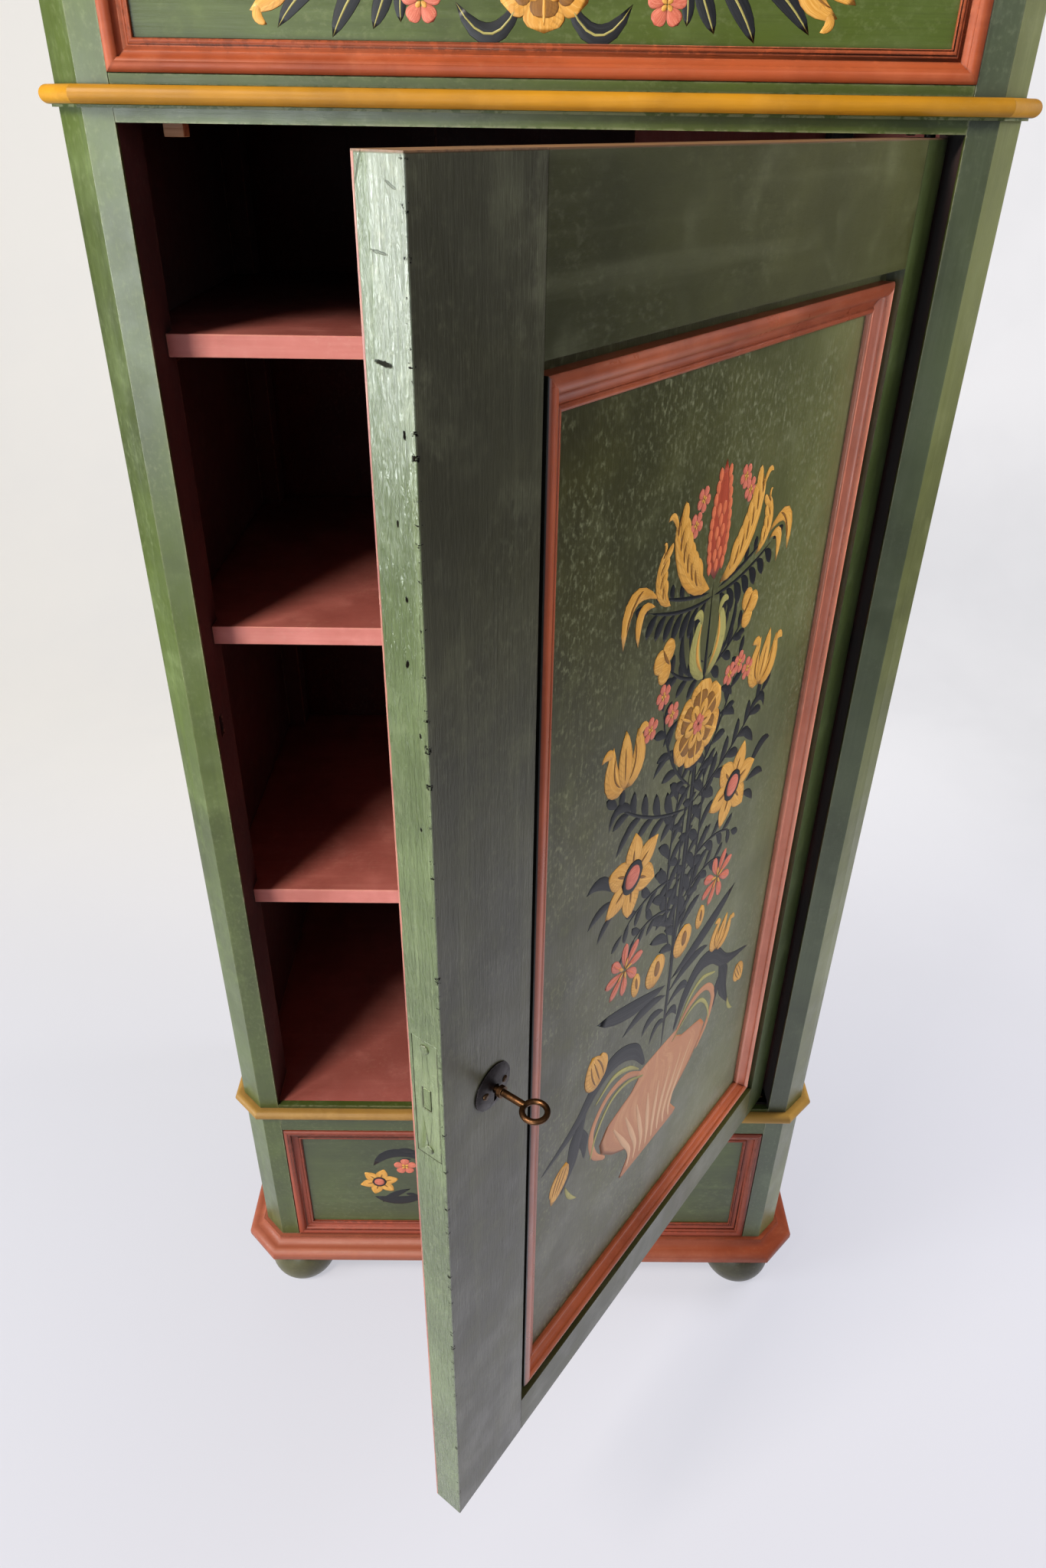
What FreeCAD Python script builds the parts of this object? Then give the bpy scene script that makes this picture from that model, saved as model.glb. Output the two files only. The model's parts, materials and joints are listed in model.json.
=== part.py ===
import FreeCAD, Part
import math
import os
import re
import Sketcher

# A tall painted cupboard with a framed door on pivots, a drawer under it and a frieze above it.
# Millimetres. X runs along the front, Y from the front plane towards the back, Z up from the floor.
# The origin is on the floor, midway along the front plane.

os.makedirs("parts", exist_ok=True)
doc = FreeCAD.newDocument("Cupboard")

sizes = {
    # feet
    "foot_height": 65.0, "foot_base_radius": 33.0, "foot_neck_radius": 34.0, "foot_bun_height": 54.0,
    "foot_round": 38.7, "foot_waist_radius": 29.0, "foot_cove": 3.0, "foot_collar_radius": 38.0,
    "foot_collar_height": 5.0, "foot_peg_radius": 12.0, "foot_peg_length": 19.0, "peg_fit": 0.1,
    "foot_inset": 45.0, "foot_setback": 24.0, "foot_rear_inset": 50.0,
    # carcase
    "open_width": 600.0, "open_height": 1018.0, "stile_face": 22.0, "cant": 25.0, "case_depth": 446.0,
    "post_depth": 56.0, "side_thick": 18.0, "side_lap": 10.0, "rear_post": 40.0, "back_thick": 12.0,
    "back_lap": 10.0, "bottom_thick": 23.0, "drawer_opening": 209.0, "rail_height": 23.0,
    "rail_depth": 40.0, "sill_thick": 22.0, "head_thick": 22.0, "frieze_height": 290.0,
    "frieze_thick": 18.0, "top_thick": 18.0,
    # mouldings that run round the case
    "bead_radius": 6.0, "bead_reach": 11.0, "lower_bead_drop": 10.2, "upper_bead_rise": 16.4,
    "fillet_reach": 4.0, "fillet_drop": 7.7, "plinth_reach": 24.0, "plinth_band": 6.0,
    "plinth_top_reach": 5.0, "plinth_top_band": 2.0, "plinth_round": 9.0, "cornice_height": 80.0,
    "cornice_reach": 50.0, "cornice_bead": 5.0, "cornice_neck": 10.0, "cornice_step": 4.0,
    "cornice_cove_reach": 42.0, "cornice_cove_round": 40.0, "cornice_band": 20.0,
    # framed panels of the drawer and the frieze
    "ring_width": 20.0, "ring_height": 9.0, "field_depth": 6.0, "frieze_strip": 7.5,
    "frieze_margin": 12.5,
    # shelves, their tops as shares of the height of the door opening
    "shelf_low_share": 0.3013, "shelf_middle_share": 0.6073, "shelf_high_share": 0.8582,
    "shelf_thick": 18.0, "shelf_setback": 36.0, "cleat_height": 18.0, "cleat_thick": 12.0,
    "cleat_inset": 6.0,
    # stop block
    "stop_width": 15.0, "stop_depth": 16.0, "stop_drop": 9.0, "stop_inset": 23.0, "stop_gap": 1.0,
    # drawer
    "drawer_gap": 1.2, "drawer_front_thick": 18.0, "drawer_back_gap": 34.0, "drawer_side_thick": 12.0,
    "drawer_side_height": 176.0, "drawer_side_inset": 4.0, "drawer_float": 0.3,
    "drawer_bottom_thick": 8.0, "drawer_bottom_rise": 10.0, "guide_gap": 0.8, "guide_height": 30.0,
    "knob_cap": 13.0, "knob_flat": 4.0, "knob_crown": 3.0, "knob_base": 11.0, "knob_neck": 7.0,
    "knob_base_height": 3.0, "knob_neck_height": 12.0, "knob_length": 32.0, "knob_cheek_round": 9.5,
    "knob_cap_round": 15.0, "knob_peg_radius": 6.0, "knob_peg_length": 14.0,
    # door, measured from its pivot line
    "pivot_inset": 19.0, "pivot_setback": 20.0, "door_angle": 52.92, "door_thick": 26.0,
    "door_free_gap": 6.0, "door_lift": 7.6, "door_head_gap": 2.2, "hinge_face": 37.0,
    "lock_stile": 86.5, "top_rail": 81.8, "bottom_rail": 49.4, "panel_drop": 13.0, "panel_thick": 10.0,
    "groove_depth": 8.5, "panel_slack": 0.5, "quirk": 8.0, "door_ring_width": 20.5,
    "pin_radius": 4.0, "pin_fit": 0.05, "pin_root": 22.0, "pin_reach": 12.0, "pin_end_gap": 1.0,
    "collar_radius": 8.0, "collar_gap": 0.1, "socket_length": 38.0, "socket_width": 24.0,
    "socket_thick": 2.5, "socket_screw_inset": 5.0,
    # screws
    "screw_radius": 1.6, "screw_length": 11.0, "screw_head_radius": 3.4, "screw_head_height": 1.0,
    # lock, measured from the key's line
    "key_inset": 47.2, "key_rise": 493.1, "lock_end": 13.5, "lock_below": 19.0, "lock_above": 51.0,
    "lock_thick": 14.0, "lock_wall": 1.5, "lock_slack": 0.4, "plate_thick": 1.5, "plate_below": 31.7,
    "plate_above": 71.3, "plate_margin": 3.0, "plate_screw_inset": 7.0, "bolt_thick": 6.0,
    "bolt_height": 18.0, "bolt_rise": 12.0, "bolt_length": 48.0, "bolt_throw": 12.0, "slide_fit": 0.3,
    "strike_slack": 2.0, "rosette_radius": 17.5, "rosette_thick": 3.0, "rosette_edge": 1.0,
    "rosette_round": 55.0, "rosette_screw_offset": 9.5, "rosette_screw_radius": 1.2,
    "rosette_screw_length": 4.5, "rosette_head_radius": 2.7, "rosette_head_sink": 0.8,
    "rosette_head_height": 1.5, "keyhole_radius": 3.3, "keyhole_slot": 3.2, "keyhole_drop": 12.0,
    # key
    "shank_radius": 2.5, "key_out": 34.0, "key_tip": 4.0, "bow_radius": 8.0, "bow_wire": 2.0,
    "key_collar_radius": 4.2, "key_collar_height": 3.0, "key_collar_out": 6.0, "bit_reach": 10.0,
    "bit_thick": 2.5, "bit_length": 6.5, "bit_ward": 2.0,
    # how far a cutting shape runs past what it cuts
    "overrun": 2.0,
}

# Levels and places worked out from the sizes.
derived = {
    "half_open": "open_width / 2",
    "half_width": "half_open + stile_face + cant",
    "wall_x": "half_width - side_thick",
    "rear_x": "half_width - rear_post",
    "rear_y": "case_depth - rear_post",
    "back_y": "case_depth - back_thick",
    "floor_z": "foot_height + bottom_thick",
    "drawer_top": "floor_z + drawer_opening",
    "sill_under": "drawer_top + rail_height",
    "sill_top": "sill_under + sill_thick",
    "head_under": "sill_top + open_height",
    "head_top": "head_under + head_thick",
    "crown_under": "head_top + frieze_height",
    "case_top": "crown_under + top_thick",
    "frieze_low": "head_top + frieze_strip",
    "frieze_high": "case_top - cornice_height - frieze_margin",
    "lower_bead_z": "sill_top - lower_bead_drop",
    "upper_bead_z": "head_under + upper_bead_rise",
    "pivot_x": "half_open - pivot_inset",
    "door_reach": "open_width - pivot_inset - door_free_gap",
    "half_thick": "door_thick / 2",
    "door_low": "sill_top + door_lift",
    "door_high": "head_under - door_head_gap",
    "panel_left": "lock_stile - door_reach",
    "panel_right": "-hinge_face",
    "panel_low": "door_low + bottom_rail",
    "panel_high": "door_high - top_rail",
    "panel_face": "panel_drop - half_thick",
    "key_x": "key_inset - door_reach",
    "key_z": "door_low + key_rise",
    "plate_low": "key_z - plate_below",
    "plate_high": "key_z + plate_above",
    "lock_left": "plate_thick - door_reach",
    "lock_right": "key_x + lock_end",
    "bolt_low": "key_z + bolt_rise",
    "front_x": "half_open - drawer_gap",
    "front_low": "floor_z + drawer_gap",
    "front_high": "drawer_top - drawer_gap",
    "drawer_rear": "back_y - drawer_back_gap",
    "drawer_x": "half_open - drawer_side_inset",
    "drawer_low": "floor_z + drawer_float",
}

# The section of a framing strip, from its outer edge inwards: shares of its width and of its height,
# and for a round stretch the share of the width that is its radius, and which way it turns.
strip_shares = [
    (0.0, 0.0), (0.0, 0.74), (0.44, 0.74, 0.30, -1), (0.44, 0.62), (0.78, 0.22, 0.40, 1),
    (0.80, 0.22), (1.0, 0.22, 0.105, -1), (1.0, 0.0),
]

sheet = doc.addObject("Spreadsheet::Sheet", "Sizes")
for row, (name, number) in enumerate(sizes.items(), start=1):
    sheet.set(f"A{row}", str(number))
    sheet.setAlias(f"A{row}", name)
doc.recompute()


def expand(words):
    """Turn a sum written with the names above into one that reads the sheet."""
    def swap(found):
        name = found.group(0)
        if name in derived:
            return f"({expand(derived[name])})"
        return f"Sizes.{name}" if name in sizes else name
    return re.sub(r"[a-z][a-z_]+", swap, words)


def value(words):
    return float(sheet.evalExpression(expand(words)))


def bind(item, prop, words):
    item.setExpression(prop, expand(words))


def place(item, *spot):
    for axis, words in zip("xyz", spot):
        if words != "0":
            bind(item, f"Placement.Base.{axis}", words)


def hang(item):
    """Put a piece drawn for the closed door, about its pivot line, where the standing-open door is."""
    place(item, "pivot_x", "pivot_setback", "0")
    bind(item, "Placement.Rotation.Angle", "door_angle")
    return item


nodes = []


def keep(item, label):
    item.Label = label
    nodes.append(item)
    return item


# Sketches: an outline is a list of points (x, y). A point with a radius and a turn ends an arc,
# which turns left for 1 and right for -1.

def arc(start, end, radius, turn):
    chord = end - start
    middle = (start + end) / 2
    away = math.sqrt(radius ** 2 - (chord.Length / 2) ** 2)
    left = FreeCAD.Vector(-chord.y, chord.x, 0).normalize()
    centre = middle + left * (away * turn)
    first, last = (start, end) if turn > 0 else (end, start)
    angles = [math.atan2(p.y - centre.y, p.x - centre.x) for p in (first, last)]
    if angles[1] < angles[0]:
        angles[1] += 2 * math.pi
    return Part.ArcOfCircle(Part.Circle(centre, FreeCAD.Vector(0, 0, 1), radius), *angles)


def fix_point(sketch, curve, end, point):
    for words, kind, axis in ((point[0], "DistanceX", -2), (point[1], "DistanceY", -1)):
        if words == "0":
            sketch.addConstraint(Sketcher.Constraint("PointOnObject", curve, end, axis))
        else:
            index = sketch.addConstraint(Sketcher.Constraint(kind, -1, 1, curve, end, value(words)))
            bind(sketch, f"Constraints[{index}]", words)


def draw(sketch, points, closed=True):
    spots = [FreeCAD.Vector(value(point[0]), value(point[1]), 0) for point in points]
    ends = []
    count = len(points)
    for number in range(count if closed else count - 1):
        following = (number + 1) % count
        start, end, target = spots[number], spots[following], points[following]
        if len(target) == 2:
            curve = sketch.addGeometry(Part.LineSegment(start, end))
            ends.append((curve, 1, 2))
        else:
            curve = sketch.addGeometry(arc(start, end, value(target[2]), target[3]))
            ends.append((curve, 1, 2) if target[3] > 0 else (curve, 2, 1))
            index = sketch.addConstraint(Sketcher.Constraint("Radius", curve, value(target[2])))
            bind(sketch, f"Constraints[{index}]", target[2])
    for number, (curve, first, last) in enumerate(ends):
        fix_point(sketch, curve, first, points[number])
        if closed or number + 1 < len(ends):
            onward = ends[(number + 1) % len(ends)]
            sketch.addConstraint(Sketcher.Constraint("Coincident", curve, last, onward[0], onward[1]))
        else:
            fix_point(sketch, curve, last, points[-1])


def sketched(body, role, outlines, shift=("0", "0", "0"), closed=True):
    sketch = body.newObject("Sketcher::SketchObject", "outline")
    plane = next(item for item in body.Origin.OriginFeatures if item.Role == role)
    sketch.AttachmentSupport = (plane, "")
    sketch.MapMode = "FlatFace"
    for axis, words in zip("xyz", shift):
        if words != "0":
            bind(sketch, f"AttachmentOffset.Base.{axis}", words)
    for points in outlines:
        draw(sketch, points, closed)
    return sketch


def new_body(label):
    return doc.addObject("PartDesign::Body", label)


def pad(body, sketch, length, backwards=False):
    feature = body.newObject("PartDesign::Pad", "pad")
    feature.Profile = sketch
    feature.Reversed = backwards
    bind(feature, "Length", length)
    sketch.Visibility = False
    return feature


def pocket(body, sketch, length):
    feature = body.newObject("PartDesign::Pocket", "pocket")
    feature.Profile = sketch
    bind(feature, "Length", length)
    return feature


def turned(label, points, role="XZ_Plane", axis="V_Axis", shift=("0", "0", "0")):
    """A turned piece: its half outline spun about an axis of its own sketch."""
    body = new_body(label)
    sketch = sketched(body, role, [points], shift)
    feature = body.newObject("PartDesign::Revolution", "turning")
    feature.Profile = sketch
    feature.ReferenceAxis = (sketch, [axis])
    return body


def block(label, low, high):
    box = doc.addObject("Part::Box", label)
    for prop, start, end in zip(("Length", "Width", "Height"), low, high):
        bind(box, prop, end if start == "0" else f"({end}) - ({start})")
    place(box, *low)
    return box


def rod(label, radius, axis, spot, length):
    cylinder = doc.addObject("Part::Cylinder", label)
    turns = {"x": ((0, 1, 0), 90), "y": ((1, 0, 0), -90), "z": ((0, 0, 1), 0)}
    direction, angle = turns[axis]
    cylinder.Placement = FreeCAD.Placement(
        FreeCAD.Vector(), FreeCAD.Rotation(FreeCAD.Vector(*direction), angle))
    bind(cylinder, "Radius", radius)
    bind(cylinder, "Height", length)
    place(cylinder, *spot)
    return cylinder


def fused(label, items):
    whole = doc.addObject("Part::MultiFuse", label)
    whole.Shapes = items
    return whole


def cut(label, base, tools):
    piece = doc.addObject("Part::Cut", label)
    piece.Base = base
    piece.Tool = tools[0] if len(tools) == 1 else fused(f"{label}_cuts", tools)
    return piece


def grouped(label, items):
    group = doc.addObject("Part::Compound", label)
    group.Links = items
    return group


def mirrored(points):
    """Half an outline on the right, and the same half on the left in return order."""
    return points + [(f"-({x})", y) for x, y in reversed(points)]


# Case: bottom and top boards with canted front corners.

canted_plan = mirrored([
    ("half_width - cant", "0"), ("half_width", "cant"), ("half_width", "case_depth")])
foot_spots = {
    f"{row}_{side}": (f"{sign} * (half_width - foot_inset)", depth)
    for row, depth in (("front", "foot_setback"), ("rear", "case_depth - foot_rear_inset"))
    for side, sign in (("left", -1), ("right", 1))
}

bottom = new_body("bottom_board_blank")
pad(bottom, sketched(bottom, "XY_Plane", [canted_plan], ("0", "0", "foot_height")), "bottom_thick")
peg_holes = [
    rod(f"peg_hole_{name}", "foot_peg_radius + peg_fit", "z",
        (x, y, "foot_height - overrun"), "foot_peg_length + peg_fit + overrun")
    for name, (x, y) in foot_spots.items()
]
keep(cut("bottom_board_body", bottom, peg_holes), "bottom_board")

top = new_body("top_board_body")
pad(top, sketched(top, "XY_Plane", [canted_plan], ("0", "0", "crown_under")), "top_thick")
keep(top, "top_board")

# Bun feet, turned, each with a peg into the bottom board.

foot_outline = [
    ("0", "0"), ("foot_base_radius", "0"), ("foot_neck_radius", "foot_bun_height", "foot_round", 1),
    ("foot_waist_radius", "foot_bun_height + foot_cove"),
    ("foot_waist_radius", "foot_height - foot_collar_height"),
    ("foot_collar_radius", "foot_height - foot_collar_height"),
    ("foot_collar_radius", "foot_height"), ("foot_peg_radius", "foot_height"),
    ("foot_peg_radius", "foot_height + foot_peg_length"), ("0", "foot_height + foot_peg_length"),
]
for name, (x, y) in foot_spots.items():
    foot = turned(f"bun_foot_{name}_body", foot_outline)
    place(foot, x, y)
    keep(foot, f"bun_foot_{name}")

# Corner posts, side boards and back planks.

front_post = [
    ("half_open", "0"), ("half_open + stile_face", "0"), ("half_width", "cant"),
    ("half_width", "post_depth - side_lap"), ("wall_x", "post_depth - side_lap"),
    ("wall_x", "post_depth"), ("half_open", "post_depth"),
]
rear_post = [
    ("rear_x", "rear_y"), ("wall_x", "rear_y"), ("wall_x", "rear_y + side_lap"),
    ("half_width", "rear_y + side_lap"), ("half_width", "case_depth"),
    ("rear_x + back_lap", "case_depth"), ("rear_x + back_lap", "back_y"), ("rear_x", "back_y"),
]
strike = block(
    "strike_mortise",
    ("-half_open - (bolt_throw + strike_slack - door_free_gap)",
     "pivot_setback - bolt_thick / 2 - strike_slack", "bolt_low - strike_slack"),
    ("-half_open + overrun", "pivot_setback + bolt_thick / 2 + strike_slack",
     "bolt_low + bolt_height + strike_slack"))
for side, sign in (("left", -1), ("right", 1)):
    for row, outline in (("front", front_post), ("rear", rear_post)):
        post = new_body(f"corner_post_{row}_{side}_body")
        points = [(f"{sign} * ({x})", y) for x, y in outline]
        pad(post, sketched(post, "XY_Plane", [points], ("0", "0", "floor_z")), "crown_under - floor_z")
        if (row, side) == ("front", "left"):
            post = cut("corner_post_with_strike", post, [strike])
        keep(post, f"corner_post_{row}_{side}")
    left, right = ("-half_width", "-wall_x") if sign < 0 else ("wall_x", "half_width")
    board = block(f"side_board_{side}_box", (left, "post_depth - side_lap", "floor_z"),
                  (right, "rear_y + side_lap", "crown_under"))
    keep(board, f"side_board_{side}")

plank = "(2 * (rear_x + back_lap) / 3)"
for number, name in enumerate(("left", "middle", "right")):
    start = f"{number} * {plank} - rear_x - back_lap"
    board = block(f"back_plank_{name}_box", (start, "back_y", "floor_z"),
                  (f"{start} + {plank}", "case_depth", "crown_under"))
    keep(board, f"back_plank_{name}")

# Screws: turned, with a round-edged head, drawn point down with the head's underside at zero.

def screw_outline(radius, length, head, height):
    return [
        ("0", f"-{length}"), (radius, f"-{length}"), (radius, "0"), (head, "0"),
        (f"{head} - {height}", height, height, 1), ("0", height),
    ]


case_screw = screw_outline("screw_radius", "screw_length", "screw_head_radius", "screw_head_height")

# Pivot sockets: an iron plate on the sill and one let into the head, each with two screws.

plate_x = "half_open - socket_length"
plate_y = "pivot_setback - socket_width / 2"
screw_spots = [
    (f"{plate_x} + socket_screw_inset", "pivot_setback"),
    ("half_open - socket_screw_inset", "pivot_setback"),
]
pin_hole = "pin_radius + pin_fit"


def socket(label, low, high):
    plate = block(f"{label}_box", (plate_x, plate_y, low), ("half_open", f"{plate_y} + socket_width", high))
    holes = [rod(f"{label}_pin_hole", pin_hole, "z",
                 ("pivot_x", "pivot_setback", f"{low} - overrun"), "socket_thick + 2 * overrun")]
    for number, (x, y) in enumerate(screw_spots):
        holes.append(rod(f"{label}_screw_hole_{number}", "screw_radius", "z",
                         (x, y, f"{low} - overrun"), "socket_thick + 2 * overrun"))
    keep(cut(f"{label}_plate", plate, holes), label)


socket("pivot_socket_bottom", "sill_top", "sill_top + socket_thick")
socket("pivot_socket_top", "head_under", "head_under + socket_thick")

socket_screws = []
for number, (x, y) in enumerate(screw_spots):
    lower = turned(f"socket_screw_low_{number}", case_screw)
    place(lower, x, y, "sill_top + socket_thick")
    upper = turned(f"socket_screw_high_{number}", case_screw)
    upper.Placement = FreeCAD.Placement(
        FreeCAD.Vector(), FreeCAD.Rotation(FreeCAD.Vector(1, 0, 0), 180))
    place(upper, x, y, "head_under")
    socket_screws += [lower, upper]
keep(grouped("socket_screws_group", socket_screws), "socket_screws")


# Boards that fill the case between the posts, notched round them.

def case_board(label, setback, low, thick, holes=()):
    half = [
        ("half_open", setback), ("half_open", "post_depth"), ("wall_x", "post_depth"),
        ("wall_x", "rear_y"), ("rear_x", "rear_y"), ("rear_x", "back_y"),
    ]
    board = new_body(f"{label}_body")
    pad(board, sketched(board, "XY_Plane", [mirrored(half)], ("0", "0", low)), thick)
    keep(cut(f"{label}_cut", board, list(holes)) if holes else board, label)


sill_holes = [rod("sill_pin_hole", pin_hole, "z",
                  ("pivot_x", "pivot_setback", "sill_top - pin_reach - pin_end_gap"),
                  "pin_reach + pin_end_gap + overrun")]
head_holes = [
    rod("head_pin_hole", pin_hole, "z", ("pivot_x", "pivot_setback", "head_under - overrun"),
        "pin_reach + pin_end_gap + overrun"),
    block("head_plate_recess", (plate_x, plate_y, "head_under - overrun"),
          ("half_open", f"{plate_y} + socket_width", "head_under + socket_thick")),
]
for number, (x, y) in enumerate(screw_spots):
    sill_holes.append(rod(f"sill_screw_hole_{number}", "screw_radius", "z",
                          (x, y, "sill_top + socket_thick - screw_length"), "screw_length + overrun"))
    head_holes.append(rod(f"head_screw_hole_{number}", "screw_radius", "z",
                          (x, y, "head_under - overrun"), "screw_length + overrun"))
case_board("sill_board", "0", "sill_under", "sill_thick", sill_holes)
case_board("head_board", "0", "head_under", "head_thick", head_holes)
cleats = []
for name in ("low", "middle", "high"):
    under = f"sill_top + shelf_{name}_share * open_height - shelf_thick"
    case_board(f"shelf_{name}", "shelf_setback", under, "shelf_thick")
    for side, sign in (("left", -1), ("right", 1)):
        x = "wall_x - cleat_thick" if sign > 0 else "-wall_x"
        cleats.append(block(
            f"cleat_{name}_{side}", (x, "post_depth + cleat_inset", f"{under} - cleat_height"),
            (f"{x} + cleat_thick", "rear_y - cleat_inset", under)))
keep(grouped("shelf_cleats_group", cleats), "shelf_cleats")

rail = block("drawer_rail_box", ("-half_open", "0", "drawer_top"), ("half_open", "rail_depth", "sill_under"))
keep(rail, "drawer_rail")
keep(block("stop_block_box",
           ("stop_inset - half_open", "pivot_setback + half_thick + stop_gap", "head_under - stop_drop"),
           ("stop_inset + stop_width - half_open",
            "pivot_setback + half_thick + stop_gap + stop_depth", "head_under")), "stop_block")


# Mouldings that wrap the front, the cants and the sides. A section is drawn as reach and height.

def wrapped(label, section):
    body = new_body(f"{label}_body")
    path = [
        ("-half_width", "case_depth"), ("-half_width", "cant"), ("cant - half_width", "0"),
        ("half_width - cant", "0"), ("half_width", "cant"), ("half_width", "case_depth"),
    ]
    spine = sketched(body, "XY_Plane", [path], closed=False)
    profile = [(f"-(half_width + {point[0]})", point[1], *point[2:3], *(-turn for turn in point[3:]))
               for point in section]
    sketch = sketched(body, "XZ_Plane", [profile], ("0", "0", "-case_depth"))
    pipe = body.newObject("PartDesign::AdditivePipe", "moulding")
    pipe.Profile = sketch
    pipe.Spine = spine
    pipe.Transition = "Right corner"
    keep(body, label)


def bead(centre, start):
    return start + [
        ("bead_reach - bead_radius", f"{centre} - bead_radius"),
        ("bead_reach", centre, "bead_radius", 1),
        ("bead_reach - bead_radius", f"{centre} + bead_radius", "bead_radius", 1),
        ("0", f"{centre} + bead_radius"),
    ]


wrapped("lower_bead", bead("lower_bead_z", [("0", "lower_bead_z - bead_radius")]))
wrapped("upper_bead", bead("upper_bead_z", [
    ("0", "upper_bead_z - fillet_drop"), ("fillet_reach", "upper_bead_z - fillet_drop"),
    ("fillet_reach", "upper_bead_z - bead_radius"),
]))
plinth_low = "foot_height + plinth_band"
plinth_high = "floor_z - plinth_top_band"
wrapped("plinth_moulding", [
    ("0", "foot_height"), ("plinth_reach", "foot_height"), ("plinth_reach", plinth_low),
    ("(plinth_reach + plinth_top_reach) / 2", f"({plinth_low} + {plinth_high}) / 2", "plinth_round", 1),
    ("plinth_top_reach", plinth_high, "plinth_round", -1),
    ("plinth_top_reach", "floor_z"), ("0", "floor_z"),
])
cornice_low = "case_top - cornice_height"
wrapped("cornice", [
    ("0", cornice_low), ("cornice_bead", cornice_low),
    ("2 * cornice_bead", f"{cornice_low} + cornice_bead", "cornice_bead", 1),
    ("cornice_bead", f"{cornice_low} + 2 * cornice_bead", "cornice_bead", 1),
    ("cornice_neck", f"{cornice_low} + 2 * cornice_bead"),
    ("cornice_neck", f"{cornice_low} + 2 * cornice_bead + cornice_step"),
    ("cornice_cove_reach", "case_top - cornice_band", "cornice_cove_round", -1),
    ("cornice_reach", "case_top - cornice_band"), ("cornice_reach", "case_top"), ("0", "case_top"),
])


# Framing strips, mitred at the corners of a rectangle that stands upright in the front plane.

def strip(label, side, frame, width, height, face):
    left, right, low, high = frame
    body = new_body(label)
    across = side in ("top", "bottom")
    turn = -1 if side in ("top", "left") else 1
    profile = []
    for share in strip_shares:
        along = f"{share[0]} * {width}"
        out = f"{face} - {share[1]} * {height}"
        spot = {"bottom": (out, f"{low} + {along}"), "top": (out, f"{high} - {along}"),
                "left": (f"{left} + {along}", out), "right": (f"{right} - {along}", out)}[side]
        profile.append(spot if len(share) == 2 else (*spot, f"{share[2]} * {width}", share[3] * turn))
    if across:
        pad(body, sketched(body, "YZ_Plane", [profile], ("0", "0", left)), f"({right}) - ({left})")
    else:
        pad(body, sketched(body, "XY_Plane", [profile], ("0", "0", low)), f"({high}) - ({low})")
    corners = {
        "bottom": [(left, 1, low, 1), (right, -1, low, 1)],
        "top": [(left, 1, high, -1), (right, -1, high, -1)],
        "left": [(left, 1, low, 1), (left, 1, high, -1)],
        "right": [(right, -1, low, 1), (right, -1, high, -1)],
    }[side]
    triangles = []
    for x, inward, z, upward in corners:
        outer = (f"{x} - {inward} * overrun", f"{z} - {upward} * overrun")
        inner = (f"{x} + {inward} * ({width} + overrun)", f"{z} + {upward} * ({width} + overrun)")
        waste = (outer[0], inner[1]) if across else (inner[0], outer[1])
        triangles.append([outer, inner, waste])
    mitre = sketched(body, "XZ_Plane", triangles, ("0", "0", f"{height} + overrun - ({face})"))
    pocket(body, mitre, f"{height} + 2 * overrun")
    return body


sides = ("bottom", "right", "top", "left")

# Frieze: a board across the top of the front with a channel that holds its framing strips.

frieze_frame = ("-half_open", "half_open", "frieze_low", "frieze_high")
frieze = block("frieze_box", ("-half_open", "0", "head_top"), ("half_open", "frieze_thick", "crown_under"))
channel = block("frieze_channel", ("-half_open - overrun", "-overrun", "frieze_low"),
                ("half_open + overrun", "field_depth", "frieze_high"))
keep(cut("frieze_cut", frieze, [channel]), "frieze_board")
keep(grouped("frieze_moulding_group", [
    strip(f"frieze_moulding_{side}", side, frieze_frame, "ring_width", "ring_height", "field_depth")
    for side in sides]), "frieze_moulding")

# Drawer: front with framing strips, sides, back, bottom, knob, and two guides fixed in the case.

drawer_frame = ("-front_x", "front_x", "front_low", "front_high")
front = block("drawer_front_box", ("-front_x", "field_depth", "front_low"),
              ("front_x", "field_depth + drawer_front_thick", "front_high"))
knob_z = "(front_low + front_high) / 2"
knob_hole = rod("knob_hole", "knob_peg_radius + peg_fit", "y", ("0", "field_depth - overrun", knob_z),
                "knob_peg_length + peg_fit + overrun")
keep(cut("drawer_front_cut", front, [knob_hole]), "drawer_front")
keep(grouped("drawer_moulding_group", [
    strip(f"drawer_moulding_{side}", side, drawer_frame, "ring_width", "ring_height", "field_depth")
    for side in sides]), "drawer_moulding")
box_front = "field_depth + drawer_front_thick"
box_top = "drawer_low + drawer_side_height"
inner_x = "drawer_x - drawer_side_thick"
keep(block("drawer_side_left_box", ("-drawer_x", box_front, "drawer_low"),
           (f"-({inner_x})", "drawer_rear", box_top)), "drawer_side_left")
keep(block("drawer_side_right_box", (inner_x, box_front, "drawer_low"),
           ("drawer_x", "drawer_rear", box_top)), "drawer_side_right")
keep(block("drawer_back_box", (f"-({inner_x})", "drawer_rear - drawer_side_thick", "drawer_low"),
           (inner_x, "drawer_rear", box_top)), "drawer_back")
keep(block("drawer_bottom_box", (f"-({inner_x})", box_front, "drawer_low + drawer_bottom_rise"),
           (inner_x, "drawer_rear - drawer_side_thick",
            "drawer_low + drawer_bottom_rise + drawer_bottom_thick")), "drawer_bottom")
knob_out = "field_depth - knob_length"
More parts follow.
